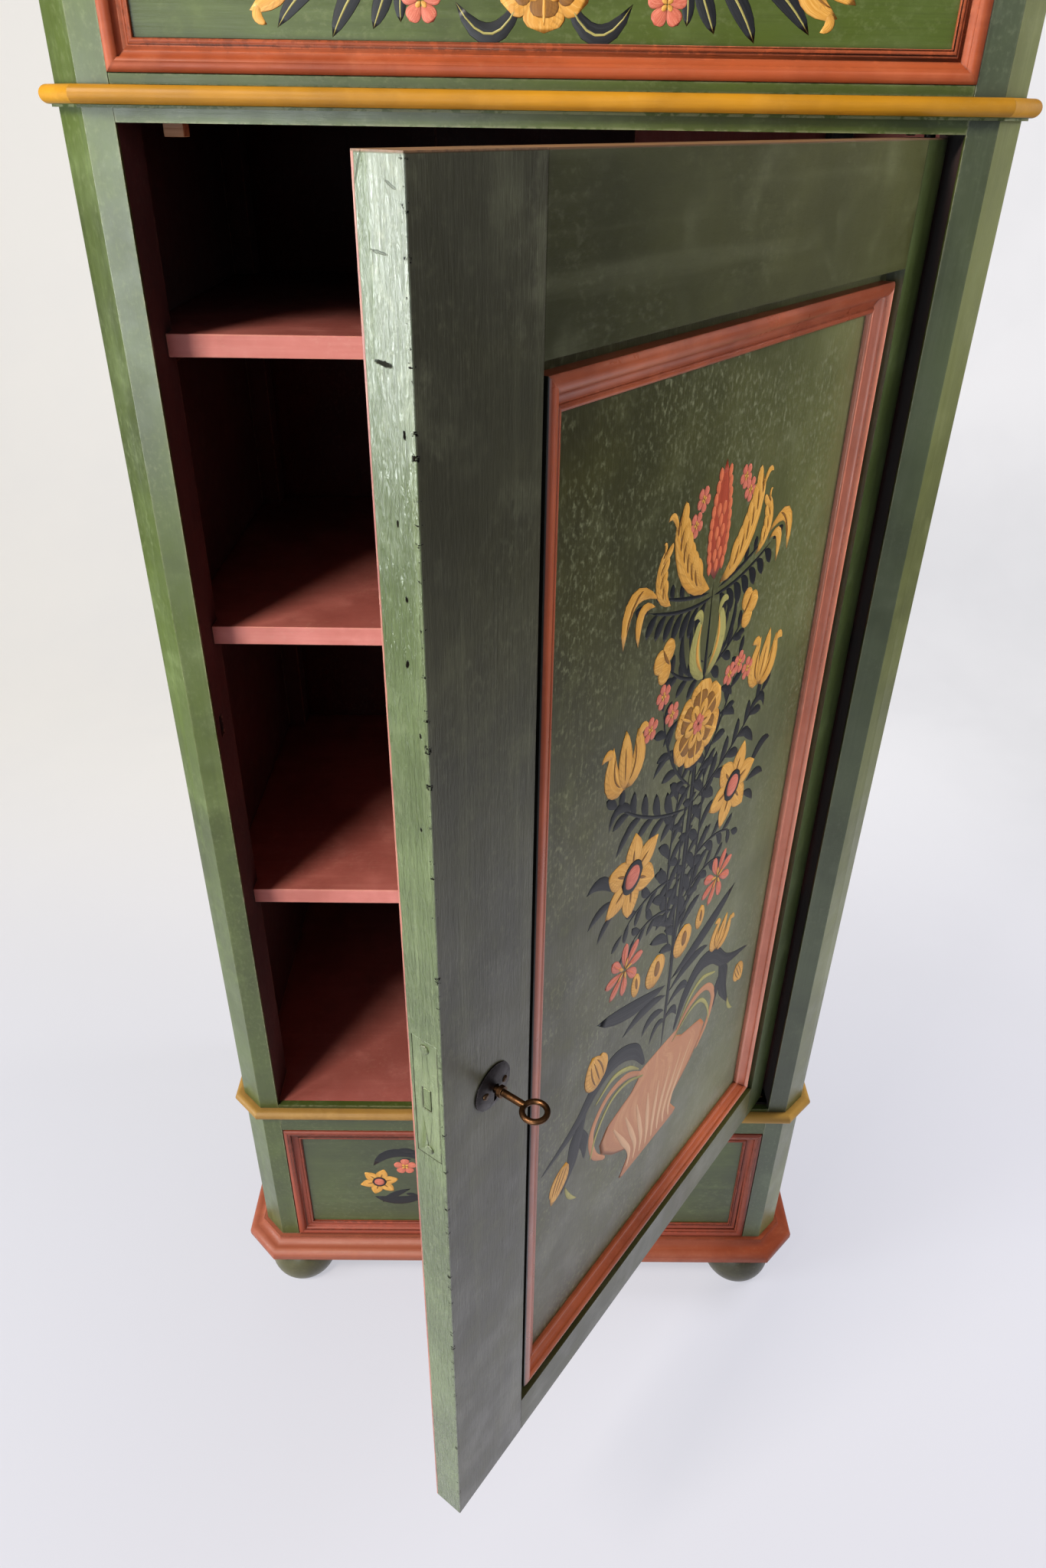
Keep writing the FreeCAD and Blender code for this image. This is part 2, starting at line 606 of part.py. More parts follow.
keep(turned("drawer_knob_body", [
    ("0", "field_depth + knob_peg_length"), ("0", knob_out), ("knob_flat", knob_out),
    ("knob_cap", f"{knob_out} + knob_crown", "knob_cap_round", 1),
    ("knob_neck", "field_depth - knob_neck_height - knob_base_height", "knob_cheek_round", 1),
    ("knob_neck", "field_depth - knob_base_height"), ("knob_base", "field_depth - knob_base_height"),
    ("knob_base", "field_depth"), ("knob_peg_radius", "field_depth"),
    ("knob_peg_radius", "field_depth + knob_peg_length"),
], "XY_Plane", "V_Axis", ("0", "0", knob_z)), "drawer_knob")
guides = []
for side, sign in (("left", -1), ("right", 1)):
    near = "drawer_x + guide_gap"
    low, high = (f"-({near})", "-wall_x")[::-1] if sign < 0 else (near, "wall_x")
    guides.append(block(f"drawer_guide_{side}", (low, "post_depth", "floor_z"),
                        (high, "rear_y", "floor_z + guide_height")))
keep(grouped("drawer_guides_group", guides), "drawer_guides")

# Door frame. The stiles are grooved for the panel and for the stub tenons of the rails.

groove_back = "panel_face + panel_thick"
hinge_stile = new_body("hinge_stile_blank")
hinge_plan = [
    ("panel_right", "-half_thick"), ("0", "-half_thick"), ("half_thick", "0", "half_thick", 1),
    ("0", "half_thick", "half_thick", 1), ("panel_right", "half_thick"), ("panel_right", groove_back),
    ("panel_right + groove_depth", groove_back), ("panel_right + groove_depth", "panel_face"),
    ("panel_right", "panel_face"),
]
lock_plan = [
    ("-door_reach", "-half_thick"), ("panel_left", "-half_thick"), ("panel_left", "panel_face"),
    ("panel_left - groove_depth", "panel_face"), ("panel_left - groove_depth", groove_back),
    ("panel_left", groove_back), ("panel_left", "half_thick"), ("-door_reach", "half_thick"),
]
door_height = "door_high - door_low"
pad(hinge_stile, sketched(hinge_stile, "XY_Plane", [hinge_plan], ("0", "0", "door_low")), door_height)
pin_holes = [
    rod("stile_pin_hole_low", pin_hole, "z", ("0", "0", "door_low - overrun"), "pin_root + overrun"),
    rod("stile_pin_hole_high", pin_hole, "z", ("0", "0", "door_high - pin_root"), "pin_root + overrun"),
]
keep(hang(cut("hinge_stile_cut", hinge_stile, pin_holes)), "door_stile_hinge")

# Lock stile, with the mortise for the lock, the recess for its face plate, the keyhole and screw holes.

lock_stile = new_body("lock_stile_blank")
pad(lock_stile, sketched(lock_stile, "XY_Plane", [lock_plan], ("0", "0", "door_low")), door_height)
lock_low = "key_z - lock_below"
lock_high = "key_z + lock_above"
case_front = "-lock_thick / 2"
plate_front = "plate_margin - half_thick"


def keyhole_cuts(label, start, length):
    round_part = rod(f"{label}_round", "keyhole_radius", "y", ("key_x", start, "key_z"), length)
    slot = block(f"{label}_slot", ("key_x - keyhole_slot / 2", start, "key_z - keyhole_drop"),
                 ("key_x + keyhole_slot / 2", f"{start} + {length}", "key_z"))
    return [round_part, slot]


plate_screw_spots = ["plate_low + plate_screw_inset", "plate_high - plate_screw_inset"]
rosette_screw_spots = ["key_x - rosette_screw_offset", "key_x + rosette_screw_offset"]
rosette_seat = "rosette_head_sink - rosette_thick - half_thick"


def plate_screw_holes(label):
    return [rod(f"{label}_plate_screw_{number}", "screw_radius", "x", ("-door_reach - overrun", "0", z),
                "screw_length + overrun") for number, z in enumerate(plate_screw_spots)]


def rosette_screw_holes(label):
    return [rod(f"{label}_rosette_screw_{number}", "rosette_screw_radius", "y", (x, rosette_seat, "key_z"),
                "rosette_screw_length") for number, x in enumerate(rosette_screw_spots)]


lock_cuts = [
    block("lock_mortise", ("-door_reach - overrun", f"{case_front} - lock_slack", f"{lock_low} - lock_slack"),
          ("lock_right + lock_slack", "lock_thick / 2 + lock_slack", f"{lock_high} + lock_slack")),
    block("plate_recess", ("-door_reach - overrun", plate_front, "plate_low"),
          ("lock_left", f"-({plate_front})", "plate_high")),
]
lock_cuts += keyhole_cuts("stile_keyhole", "-half_thick - overrun", "half_thick + overrun")
lock_cuts += plate_screw_holes("stile") + rosette_screw_holes("stile")
keep(hang(cut("lock_stile_cut", lock_stile, lock_cuts)), "door_stile_lock")


# Rails, grooved for the panel, with a stub tenon at each end.

def door_rail(label, low, high, groove_low, groove_high):
    body = new_body(f"{label}_body")
    whole = [("-half_thick", low), ("half_thick", low), ("half_thick", high), ("-half_thick", high)]
    tongue = [("panel_face", low), (groove_back, low), (groove_back, high), ("panel_face", high)]
    groove = [("panel_face", groove_low), (groove_back, groove_low),
              (groove_back, groove_high), ("panel_face", groove_high)]
    pad(body, sketched(body, "YZ_Plane", [whole], ("0", "0", "panel_left")), "panel_right - panel_left")
    reach = "panel_right - panel_left + 2 * groove_depth"
    pad(body, sketched(body, "YZ_Plane", [tongue], ("0", "0", "panel_left - groove_depth")), reach)
    end = sketched(body, "YZ_Plane", [groove], ("0", "0", "panel_right + groove_depth + overrun"))
    pocket(body, end, f"{reach} + 2 * overrun")
    keep(hang(body), label)


door_rail("door_rail_bottom", "door_low", "panel_low", "panel_low - groove_depth", "panel_low + overrun")
door_rail("door_rail_top", "panel_high", "door_high", "panel_high - overrun", "panel_high + groove_depth")

# Panel, held loosely in the grooves, and the framing strips planted on it.

tuck = "groove_depth - panel_slack"
panel = new_body("door_panel_body")
panel_outline = [
    (f"panel_left - ({tuck})", f"panel_low - ({tuck})"), (f"panel_right + {tuck}", f"panel_low - ({tuck})"),
    (f"panel_right + {tuck}", f"panel_high + {tuck}"), (f"panel_left - ({tuck})", f"panel_high + {tuck}"),
]
pad(panel, sketched(panel, "XZ_Plane", [panel_outline], ("0", "0", f"-({groove_back})")), "panel_thick")
keep(hang(panel), "door_panel")

door_frame = ("panel_left + quirk", "panel_right - quirk", "panel_low + quirk", "panel_high - quirk")
for side in sides:
    piece = strip(f"door_moulding_{side}_body", side, door_frame, "door_ring_width", "panel_drop",
                  "panel_face")
    keep(hang(piece), f"door_moulding_{side}")

# Pivot pins, driven into the ends of the hinge stile. The lower one has a collar that carries the door.

keep(hang(turned("pivot_pin_top_body", [
    ("0", "door_high - pin_root"), ("pin_radius", "door_high - pin_root"),
    ("pin_radius", "head_under + pin_reach"), ("0", "head_under + pin_reach"),
])), "pivot_pin_top")
collar_low = "sill_top + socket_thick + collar_gap"
keep(hang(turned("pivot_pin_bottom_body", [
    ("0", "sill_top - pin_reach"), ("pin_radius", "sill_top - pin_reach"), ("pin_radius", collar_low),
    ("collar_radius", collar_low), ("collar_radius", "door_low"), ("pin_radius", "door_low"),
    ("pin_radius", "door_low + pin_root"), ("0", "door_low + pin_root"),
])), "pivot_pin_bottom")

# Lock: an open box, its cover, its face plate and a sliding bolt.

bolt_slot_low = "bolt_low - slide_fit"
bolt_slot_high = "bolt_low + bolt_height + slide_fit"
bolt_side = "bolt_thick / 2 + slide_fit"


def bolt_slot(label):
    return block(label, ("-door_reach - overrun", f"-({bolt_side})", bolt_slot_low),
                 ("lock_left + lock_wall + overrun", bolt_side, bolt_slot_high))


case_box = block("lock_case_box", ("lock_left", f"{case_front} + lock_wall", lock_low),
                 ("lock_right", "lock_thick / 2", lock_high))
cavity = block("lock_cavity", ("lock_left + lock_wall", case_front, f"{lock_low} + lock_wall"),
               ("lock_right - lock_wall", "lock_thick / 2 - lock_wall", f"{lock_high} - lock_wall"))
keep(hang(cut("lock_case_cut", case_box, [cavity, bolt_slot("case_bolt_slot")])), "lock_case")
cover = block("lock_cover_box", ("lock_left", case_front, lock_low),
              ("lock_right", f"{case_front} + lock_wall", lock_high))
keep(hang(cut("lock_cover_cut", cover, keyhole_cuts(
    "cover_keyhole", f"{case_front} - overrun", "(lock_wall + 2 * overrun)"))), "lock_cover")
plate = block("face_plate_box", ("-door_reach", plate_front, "plate_low"),
              ("lock_left", f"-({plate_front})", "plate_high"))
keep(hang(cut("face_plate_cut", plate, [bolt_slot("plate_bolt_slot")] + plate_screw_holes("plate"))),
     "lock_face_plate")
keep(hang(grouped("bolt_group", [
    block("bolt_box", ("-door_reach", "-bolt_thick / 2", "bolt_low"),
          ("bolt_length - door_reach", "bolt_thick / 2", "bolt_low + bolt_height"))])), "lock_bolt")

plate_screws = []
for number, z in enumerate(plate_screw_spots):
    screw = turned(f"face_plate_screw_{number}", case_screw)
    screw.Placement = FreeCAD.Placement(
        FreeCAD.Vector(), FreeCAD.Rotation(FreeCAD.Vector(0, 1, 0), -90))
    place(screw, "-door_reach", "0", z)
    plate_screws.append(screw)
keep(hang(grouped("face_plate_screws_group", plate_screws)), "face_plate_screws")

# Round domed plate about the keyhole, with a screw on each side.

rosette = turned("keyhole_rosette_blank", [
    ("keyhole_radius", "-half_thick"), ("rosette_radius", "-half_thick"),
    ("rosette_radius", "-half_thick - rosette_edge"),
    ("keyhole_radius", "-half_thick - rosette_thick", "rosette_round", -1),
], "XY_Plane", "V_Axis", ("key_x", "0", "key_z"))
rosette_cuts = [keyhole_cuts("rosette_keyhole", "-half_thick - rosette_thick - overrun",
                             "(rosette_thick + 2 * overrun)")[1]]
rosette_cuts += rosette_screw_holes("rosette")
rosette_cuts += [
    rod(f"rosette_head_seat_{number}", "rosette_head_radius", "y", (x, f"{rosette_seat} - overrun", "key_z"),
        "overrun") for number, x in enumerate(rosette_screw_spots)
]
keep(hang(cut("keyhole_rosette_cut", rosette, rosette_cuts)), "keyhole_rosette")
rosette_screws = []
for number, x in enumerate(rosette_screw_spots):
    screw = turned(f"rosette_screw_{number}", screw_outline(
        "rosette_screw_radius", "rosette_screw_length", "rosette_head_radius", "rosette_head_height"))
    screw.Placement = FreeCAD.Placement(
        FreeCAD.Vector(), FreeCAD.Rotation(FreeCAD.Vector(1, 0, 0), 90))
    place(screw, x, rosette_seat, "key_z")
    rosette_screws.append(screw)
keep(hang(grouped("rosette_screws_group", rosette_screws)), "rosette_screws")

# Key: ring bow, collar, shank and bit.

bow = doc.addObject("Part::Torus", "key_bow")
bind(bow, "Radius1", "bow_radius")
bind(bow, "Radius2", "bow_wire")
place(bow, "key_x", "-half_thick - key_out", "key_z")
shank_start = "-half_thick - key_out + bow_radius"
shank = rod("key_shank", "shank_radius", "y", ("key_x", shank_start, "key_z"), f"key_tip - ({shank_start})")
key_collar = rod("key_collar", "key_collar_radius", "y",
                 ("key_x", "-half_thick - key_collar_out - key_collar_height", "key_z"), "key_collar_height")
bit_end = "key_tip - bit_ward / 2"
bit = block("key_bit", ("key_x - bit_reach", f"{bit_end} - bit_length", "key_z - bit_thick / 2"),
            ("key_x", bit_end, "key_z + bit_thick / 2"))
bit_middle = f"{bit_end} - bit_length / 2"
ward = block("key_ward", ("key_x - bit_reach - overrun", f"{bit_middle} - bit_ward / 2", "key_z - bit_thick"),
             ("key_x - bit_reach + bit_ward", f"{bit_middle} + bit_ward / 2", "key_z + bit_thick"))
keep(hang(cut("key_cut", fused("key_whole", [bow, shank, key_collar, bit]), [ward])), "key")

# Recompute, test every object and every sub-part, and write each sub-part to its own file.

doc.recompute()
broken = [item.Label for item in doc.Objects if "Invalid" in item.State or "Error" in item.State]
broken += [item.Label for item in nodes if item.Shape.isNull() or not item.Shape.isValid()
           or not item.Shape.Solids or min(solid.Volume for solid in item.Shape.Solids) <= 0]
if broken:
    raise RuntimeError(f"these did not build: {', '.join(broken)}")
for item in nodes:
    item.Shape.exportStep(f"parts/{item.Label}.step")
print(f"{len(nodes)} sub-parts, height {value('case_top'):.1f}, width {value('2 * half_width'):.1f}")
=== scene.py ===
import json
import math

import bpy
import numpy as np
from mathutils import Matrix, Vector


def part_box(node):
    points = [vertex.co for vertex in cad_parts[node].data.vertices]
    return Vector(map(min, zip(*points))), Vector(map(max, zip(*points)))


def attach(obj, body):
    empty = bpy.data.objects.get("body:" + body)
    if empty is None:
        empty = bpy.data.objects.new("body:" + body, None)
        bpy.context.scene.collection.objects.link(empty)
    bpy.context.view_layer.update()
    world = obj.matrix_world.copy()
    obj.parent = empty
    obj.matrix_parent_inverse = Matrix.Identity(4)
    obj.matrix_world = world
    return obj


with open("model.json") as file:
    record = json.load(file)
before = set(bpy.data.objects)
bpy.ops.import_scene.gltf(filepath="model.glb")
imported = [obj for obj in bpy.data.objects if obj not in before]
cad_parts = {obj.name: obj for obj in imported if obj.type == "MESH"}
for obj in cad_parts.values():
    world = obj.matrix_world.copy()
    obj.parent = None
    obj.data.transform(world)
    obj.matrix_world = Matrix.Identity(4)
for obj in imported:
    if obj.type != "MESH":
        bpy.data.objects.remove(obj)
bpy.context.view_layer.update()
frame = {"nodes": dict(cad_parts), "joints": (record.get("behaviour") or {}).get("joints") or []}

# A painted one-door cupboard: traditional flower painting, aged paint, light and camera.
# Metres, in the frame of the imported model: X along the front, Y to the back, Z up.

nodes = frame["nodes"]
print("frame:", len(nodes), "pieces")

doorJoint = next(joint for joint in frame["joints"] if joint["name"] == "door_swing")
pivot = Vector(doorJoint["pos_m"])
openAngle = math.radians(-doorJoint["range_deg"][0])
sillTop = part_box("sill_board")[1].z
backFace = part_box("back_plank_left")[0].y
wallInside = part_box("side_board_right")[0].x
postInside = -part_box("corner_post_front_left")[1].x
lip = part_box("shelf_low")[0].y + 0.0008     # behind it, a shelf's edge is no longer pale


# Lower and upper corner of a door piece, in the closed door's own directions.
def doorBox(pieceName):
    mesh = nodes[pieceName].data
    spots = np.zeros(len(mesh.vertices) * 3)
    mesh.vertices.foreach_get("co", spots)
    spots = (spots.reshape(-1, 3) - [pivot.x, pivot.y, 0.0]) @ np.array(Matrix.Rotation(openAngle, 3, "Z"))
    return spots.min(0), spots.max(0)


# The door's reach from the pivot line to the free edge, half its thickness, and its top.
stileLow, stileHigh = doorBox("door_stile_lock")
doorReach, doorHalf, doorHigh = -stileLow[0], stileHigh[1], stileHigh[2]


def tone(code):
    # sRGB hex words to the linear colour that sockets take
    parts = [int(code[at:at + 2], 16) / 255 for at in (1, 3, 5)]
    return tuple(c / 12.92 if c <= 0.04045 else ((c + 0.055) / 1.055) ** 2.4 for c in parts) + (1.0,)


# Shorthand for wiring shader nodes.
class Graph:
    def __init__(self, tree):
        self.tree = tree

    def feed(self, socket, source):
        if isinstance(source, bpy.types.NodeSocket):
            self.tree.links.new(source, socket)
        else:
            socket.default_value = source

    def node(self, kind, inputs=None, **settings):
        made = self.tree.nodes.new("ShaderNode" + kind)
        for name, setting in settings.items():
            setattr(made, name, setting)
        for key, source in (inputs or {}).items():
            self.feed(made.inputs[key], source)
        return made

    def math(self, operation, first, second=0.0, third=0.0):
        return self.node("Math", {0: first, 1: second, 2: third}, operation=operation).outputs[0]

    def plus(self, first, second):
        return self.math("ADD", first, second)

    def minus(self, first, second):
        return self.math("SUBTRACT", first, second)

    def times(self, first, second):
        return self.math("MULTIPLY", first, second)

    def larger(self, first, second):
        return self.math("MAXIMUM", first, second)

    def vector(self, operation, first, second=(0, 0, 0)):
        return self.node("VectorMath", {0: first, 1: second}, operation=operation)

    def stretch(self, place, scale):
        return self.vector("MULTIPLY", place, scale).outputs[0]

    def noise(self, place, scale, detail=3.0, rough=0.55, distort=0.0):
        return self.node("TexNoise", {"Vector": place, "Scale": scale, "Detail": detail,
                                      "Roughness": rough, "Distortion": distort}).outputs["Fac"]

    # eases from start to end while source goes from low to high
    def spread(self, source, low, high, start=0.0, end=1.0):
        made = self.node("MapRange", {0: source, 1: low, 2: high, 3: start, 4: end},
                         interpolation_type="SMOOTHSTEP")
        return made.outputs[0]

    def mix(self, factor, first, second, way="MIX"):
        made = self.node("Mix", {0: factor, 6: first, 7: second}, data_type="RGBA", blend_type=way)
        return made.outputs[2]

    def blend(self, factor, first, second):
        return self.node("Mix", {0: factor, 2: first, 3: second}, data_type="FLOAT").outputs[0]

    def split(self, place):
        return self.node("SeparateXYZ", {0: place}).outputs

    def join(self, x, y, z):
        return self.node("CombineXYZ", {0: x, 1: y, 2: z}).outputs[0]

    def use(self, group, **inputs):
        made = self.tree.nodes.new("ShaderNodeGroup")
        made.node_tree = group
        for name, source in inputs.items():
            self.feed(made.inputs[name], source)
        return made.outputs


# An empty node group with named inputs (name, kind, start) and outputs (name, kind).
def makeGroup(name, inputs, outputs):
    tree = bpy.data.node_groups.new(name, "ShaderNodeTree")
    for label, kind, start in inputs:
        socket = tree.interface.new_socket(label, in_out="INPUT", socket_type="NodeSocket" + kind)
        if start is not None:
            socket.default_value = start
    for label, kind in outputs:
        tree.interface.new_socket(label, in_out="OUTPUT", socket_type="NodeSocket" + kind)
    return Graph(tree), tree.nodes.new("NodeGroupInput").outputs, tree.nodes.new("NodeGroupOutput").inputs


coatOutputs = [("Colour", "Color"), ("Roughness", "Float"), ("Height", "Float")]


# Reach in metres of worn edges of paint and wood, of worn edges of metal, and of dirt and painted shade in
# corners.
wearReach = {"edge": 0.003, "metalEdge": 0.0012, "corner": 0.014}
# Dust on paint; dirt and painted shade in the corners of paint, wood and metal; and painted shade for
# closed-in places.
stainsAndShade = {"dust": "#8e9074", "paint": "#0a0806", "wood": "#1c140e", "metal": "#0e0a08",
          "paintedShade": "#060202"}


# Where an edge is worn, from the rounded normal, and where a corner is darkened by dirt and painted shade,
# from occlusion.
def makeWearGroup():
    graph, given, result = makeGroup("wear", [("Radius", "Float", wearReach["edge"])],
                                     [("Edge", "Float"), ("CornerDirtAndShade", "Float")])
    flat = graph.node("NewGeometry").outputs["Normal"]
    rounded = graph.node("Bevel", {"Radius": given["Radius"]}, samples=3).outputs[0]
    turned = graph.minus(1.0, graph.vector("DOT_PRODUCT", flat, rounded).outputs["Value"])
    graph.feed(result["Edge"], graph.spread(turned, 0.01, 0.16))
    hidden = graph.node("AmbientOcclusion", {"Distance": wearReach["corner"]}, samples=3).outputs["AO"]
    graph.feed(result["CornerDirtAndShade"], graph.spread(hidden, 0.75, 0.25))
    return graph.tree


wearGroup = makeWearGroup()


# Old brushed paint: clouds of tone, fine brush lines along the grain (the Z of Place), soft pale
# flecks in drifts, a few chips on the edges that show the undercoat, and dirt with painted shade in the
# corners.
def makePaintGroup():
    graph, given, result = makeGroup("agedPaint", [
        ("Place", "Vector", None), ("Base", "Color", None), ("Pale", "Color", None),
        ("Deep", "Color", None), ("Undercoat", "Color", None), ("Chips", "Float", 0.5),
        ("Fleck", "Float", 0.3), ("Streak", "Float", 0.5), ("Gloss", "Float", 0.42),
        ("Ridge", "Float", 0.1), ("DirtAndShade", "Float", 1.0)], coatOutputs)
    place = given["Place"]
    wear = graph.use(wearGroup)
    ridge = graph.noise(graph.stretch(place, (1, 1, 0.14)), 520.0, 3.0, 0.6, 0.7)
    cloud = graph.spread(graph.noise(place, 4.5, 5.0, 0.62), 0.36, 0.66)
    patch = graph.noise(place, 26.0, 5.0, 0.62)
    line = graph.noise(graph.stretch(place, (1, 1, 0.025)), 460.0, 3.0, 0.65)
    broad = graph.noise(graph.stretch(place, (1, 1, 0.04)), 90.0, 3.0, 0.55)
    speck = graph.noise(graph.stretch(place, (1, 1, 0.7)), 260.0, 4.0, 0.65)
    drift = graph.spread(graph.noise(place, 11.0, 3.0, 0.6), 0.36, 0.58)
    colour = graph.mix(cloud, given["Deep"], given["Base"])
    colour = graph.mix(graph.spread(patch, 0.52, 0.8, 0.0, 0.3), colour, given["Pale"])
    shade = graph.times(graph.spread(line, 0.44, 0.68, 0.0, 0.5), given["Streak"])
    colour = graph.mix(shade, colour, given["Deep"])
    light = graph.times(graph.spread(broad, 0.5, 0.74, 0.0, 0.34), given["Streak"])
    colour = graph.mix(light, colour, given["Pale"])
    dust = graph.times(graph.spread(speck, 0.48, 0.74), drift)
    dust = graph.times(dust, given["Fleck"])
    colour = graph.mix(dust, colour, graph.mix(0.4, given["Pale"], tone(stainsAndShade["dust"])))
    dirtAndShade = graph.times(wear["CornerDirtAndShade"], graph.spread(patch, 0.2, 0.6, 0.5, 0.95))
    dirtAndShade = graph.times(dirtAndShade, given["DirtAndShade"])
    colour = graph.mix(dirtAndShade, colour, graph.mix(0.6, given["Deep"], tone(stainsAndShade["paint"])))
    rub = graph.plus(wear["Edge"], graph.times(graph.noise(place, 120.0, 4.0, 0.7), 1.3))
    softRub = graph.times(graph.spread(rub, 1.1, 1.7), 0.12)
    colour = graph.mix(graph.times(softRub, wear["Edge"]), colour, given["Pale"])
    reach = graph.plus(rub, graph.times(graph.noise(place, 9.0, 2.0), 0.7))
    bare = graph.times(graph.spread(reach, 1.9, 2.0), given["Chips"])
    bare = graph.times(bare, graph.spread(wear["Edge"], 0.2, 0.5))
    furrow = graph.times(graph.spread(ridge, 0.46, 0.3, 0.0, 0.45), given["Ridge"])
    colour = graph.mix(furrow, colour, given["Deep"])
    graph.feed(result["Colour"], graph.mix(bare, colour, given["Undercoat"]))
    rough = graph.plus(given["Gloss"], graph.spread(patch, 0.3, 0.7, -0.06, 0.08))
    rough = graph.plus(rough, graph.times(furrow, 0.4))
    rough = graph.plus(rough, graph.times(dust, 0.12))
    rough = graph.plus(rough, graph.times(bare, 0.25))
    graph.feed(result["Roughness"], graph.plus(rough, graph.times(dirtAndShade, 0.15)))
    height = graph.plus(graph.times(line, 0.5), graph.times(patch, 0.4))
    height = graph.plus(height, graph.times(broad, 0.5))
    height = graph.math("MULTIPLY_ADD", ridge, graph.times(given["Ridge"], 3.0), height)
    graph.feed(result["Height"], graph.minus(height, graph.times(bare, 1.2)))
    return graph.tree


# Sawn or planed softwood: long wavering rings, pores, and a grey bloom of age.
def makeWoodGroup():
    graph, given, result = makeGroup("bareWood", [
        ("Place", "Vector", None), ("Base", "Color", None), ("Ring", "Color", None),
        ("Grey", "Color", None), ("Age", "Float", 0.4)], coatOutputs)
    place = given["Place"]
    wear = graph.use(wearGroup)
    sway = graph.noise(graph.stretch(place, (3.2, 3.2, 0.22)), 1.0, 2.0, 0.45)
    ring = graph.math("FRACT", graph.times(sway, 62.0))
    ring = graph.times(graph.spread(ring, 0.2, 0.9), graph.spread(ring, 1.0, 0.92))
    pore = graph.noise(graph.stretch(place, (1, 1, 0.02)), 520.0, 3.0, 0.6)
    cloud = graph.noise(place, 7.0, 4.0, 0.6)
    colour = graph.mix(graph.times(ring, 0.55), given["Base"], given["Ring"])
    colour = graph.mix(graph.spread(pore, 0.5, 0.75, 0.0, 0.55), colour, given["Ring"])
    bloom = graph.times(graph.spread(cloud, 0.35, 0.7), given["Age"])
    colour = graph.mix(bloom, colour, given["Grey"])
    # dirt and painted shade darken the wood in its corners
    dirtAndShade = graph.times(wear["CornerDirtAndShade"], 0.7)
    graph.feed(result["Colour"], graph.mix(dirtAndShade, colour, tone(stainsAndShade["wood"])))
    graph.feed(result["Roughness"], graph.spread(pore, 0.3, 0.7, 0.62, 0.82))
    graph.feed(result["Height"], graph.minus(graph.times(ring, 0.3), pore))
    return graph.tree


# Handled metal: dark film in the corners, bright rubbed edges, fine scratches and pits.
def makeMetalGroup():
    graph, given, result = makeGroup("oldMetal", [
        ("Place", "Vector", None), ("Base", "Color", None), ("Bright", "Color", None),
        ("Film", "Color", None)], coatOutputs)
    place = given["Place"]
    wear = graph.use(wearGroup, Radius=wearReach["metalEdge"])
    cloud = graph.noise(place, 90.0, 5.0, 0.65)
    pit = graph.noise(place, 900.0, 3.0, 0.6)
    scratch = graph.noise(graph.stretch(place, (1, 0.06, 1)), 1500.0, 2.0, 0.5)
    colour = graph.mix(graph.spread(cloud, 0.4, 0.66), given["Base"], given["Film"])
    rub = graph.times(wear["Edge"], graph.spread(pit, 0.3, 0.6))
    colour = graph.mix(rub, colour, given["Bright"])
    colour = graph.mix(graph.times(wear["CornerDirtAndShade"], 0.8), colour, tone(stainsAndShade["metal"]))
    graph.feed(result["Colour"], colour)
    rough = graph.spread(cloud, 0.3, 0.7, 0.3, 0.55)
    graph.feed(result["Roughness"], graph.minus(rough, graph.times(rub, 0.12)))
    graph.feed(result["Height"], graph.plus(pit, graph.times(scratch, 0.5)))
    return graph.tree


# One brush stroke: u runs along it and v across, with hair lines, a loaded edge and a dry end.
def makeStrokeGroup():
    graph, given, result = makeGroup("brushStroke", [
        ("Body", "Color", None), ("Light", "Color", None), ("Shade", "Color", None),
        ("Hatch", "Float", 0.3)], coatOutputs)
    strokeMap = graph.node("UVMap", uv_map="strokeMap").outputs[0]
    along, across = graph.split(strokeMap)[:2]
    number = graph.node("Attribute", attribute_name="strokeNumber").outputs["Fac"]
    hair = graph.noise(graph.join(graph.times(along, 1.2), graph.times(across, 11.0),
                                  graph.times(number, 57.0)), 1.6, 3.0, 0.6)
    body = graph.mix(graph.spread(hair, 0.42, 0.68, 0.0, 0.75), given["Body"], given["Light"])
    body = graph.mix(graph.spread(along, 0.45, 0.0, 0.0, 0.5), body, given["Shade"])
    rim = graph.math("ABSOLUTE", graph.minus(across, 0.5))
    body = graph.mix(graph.spread(rim, 0.36, 0.5, 0.0, 0.45), body, given["Shade"])
    slant = graph.plus(graph.times(along, 9.0), graph.times(across, 4.0))
    tooth = graph.math("FRACT", slant)
    tooth = graph.times(graph.spread(tooth, 0.55, 0.95), graph.spread(across, 0.55, 0.1))
    body = graph.mix(graph.times(tooth, given["Hatch"]), body, given["Shade"])
    place = graph.node("TexCoord").outputs["Object"]
    fade = graph.noise(place, 240.0, 3.0, 0.6)
    graph.feed(result["Colour"], graph.mix(graph.spread(fade, 0.56, 0.75, 0.0, 0.35), body, given["Shade"]))
    graph.feed(result["Roughness"], graph.spread(hair, 0.3, 0.7, 0.4, 0.52))
    graph.feed(result["Height"], hair)
    return graph.tree


paintGroup = makePaintGroup()
woodGroup = makeWoodGroup()
metalGroup = makeMetalGroup()
strokeGroup = makeStrokeGroup()
print("shader groups: made")

# Finishes. A coat is one layer of old paint, wood or metal.
greenCoat = {"Base": "#4a5a20", "Pale": "#768850", "Deep": "#374219", "Undercoat": "#a9a786",
             "Chips": 0.45, "Fleck": 0.25, "Streak": 0.4, "Gloss": 0.38}
# Painted shade: a cooler green for the right post's front.
shadedCoolCoat = {**greenCoat, "Base": "#4a553c", "Pale": "#76846c", "Deep": "#37402e"}
# Painted sheen: a paler cool green low on the right post's front.
sheenCoolCoat = {**greenCoat, "Base": "#6b7b5a", "Pale": "#8d9a7c", "Deep": "#525f44"}
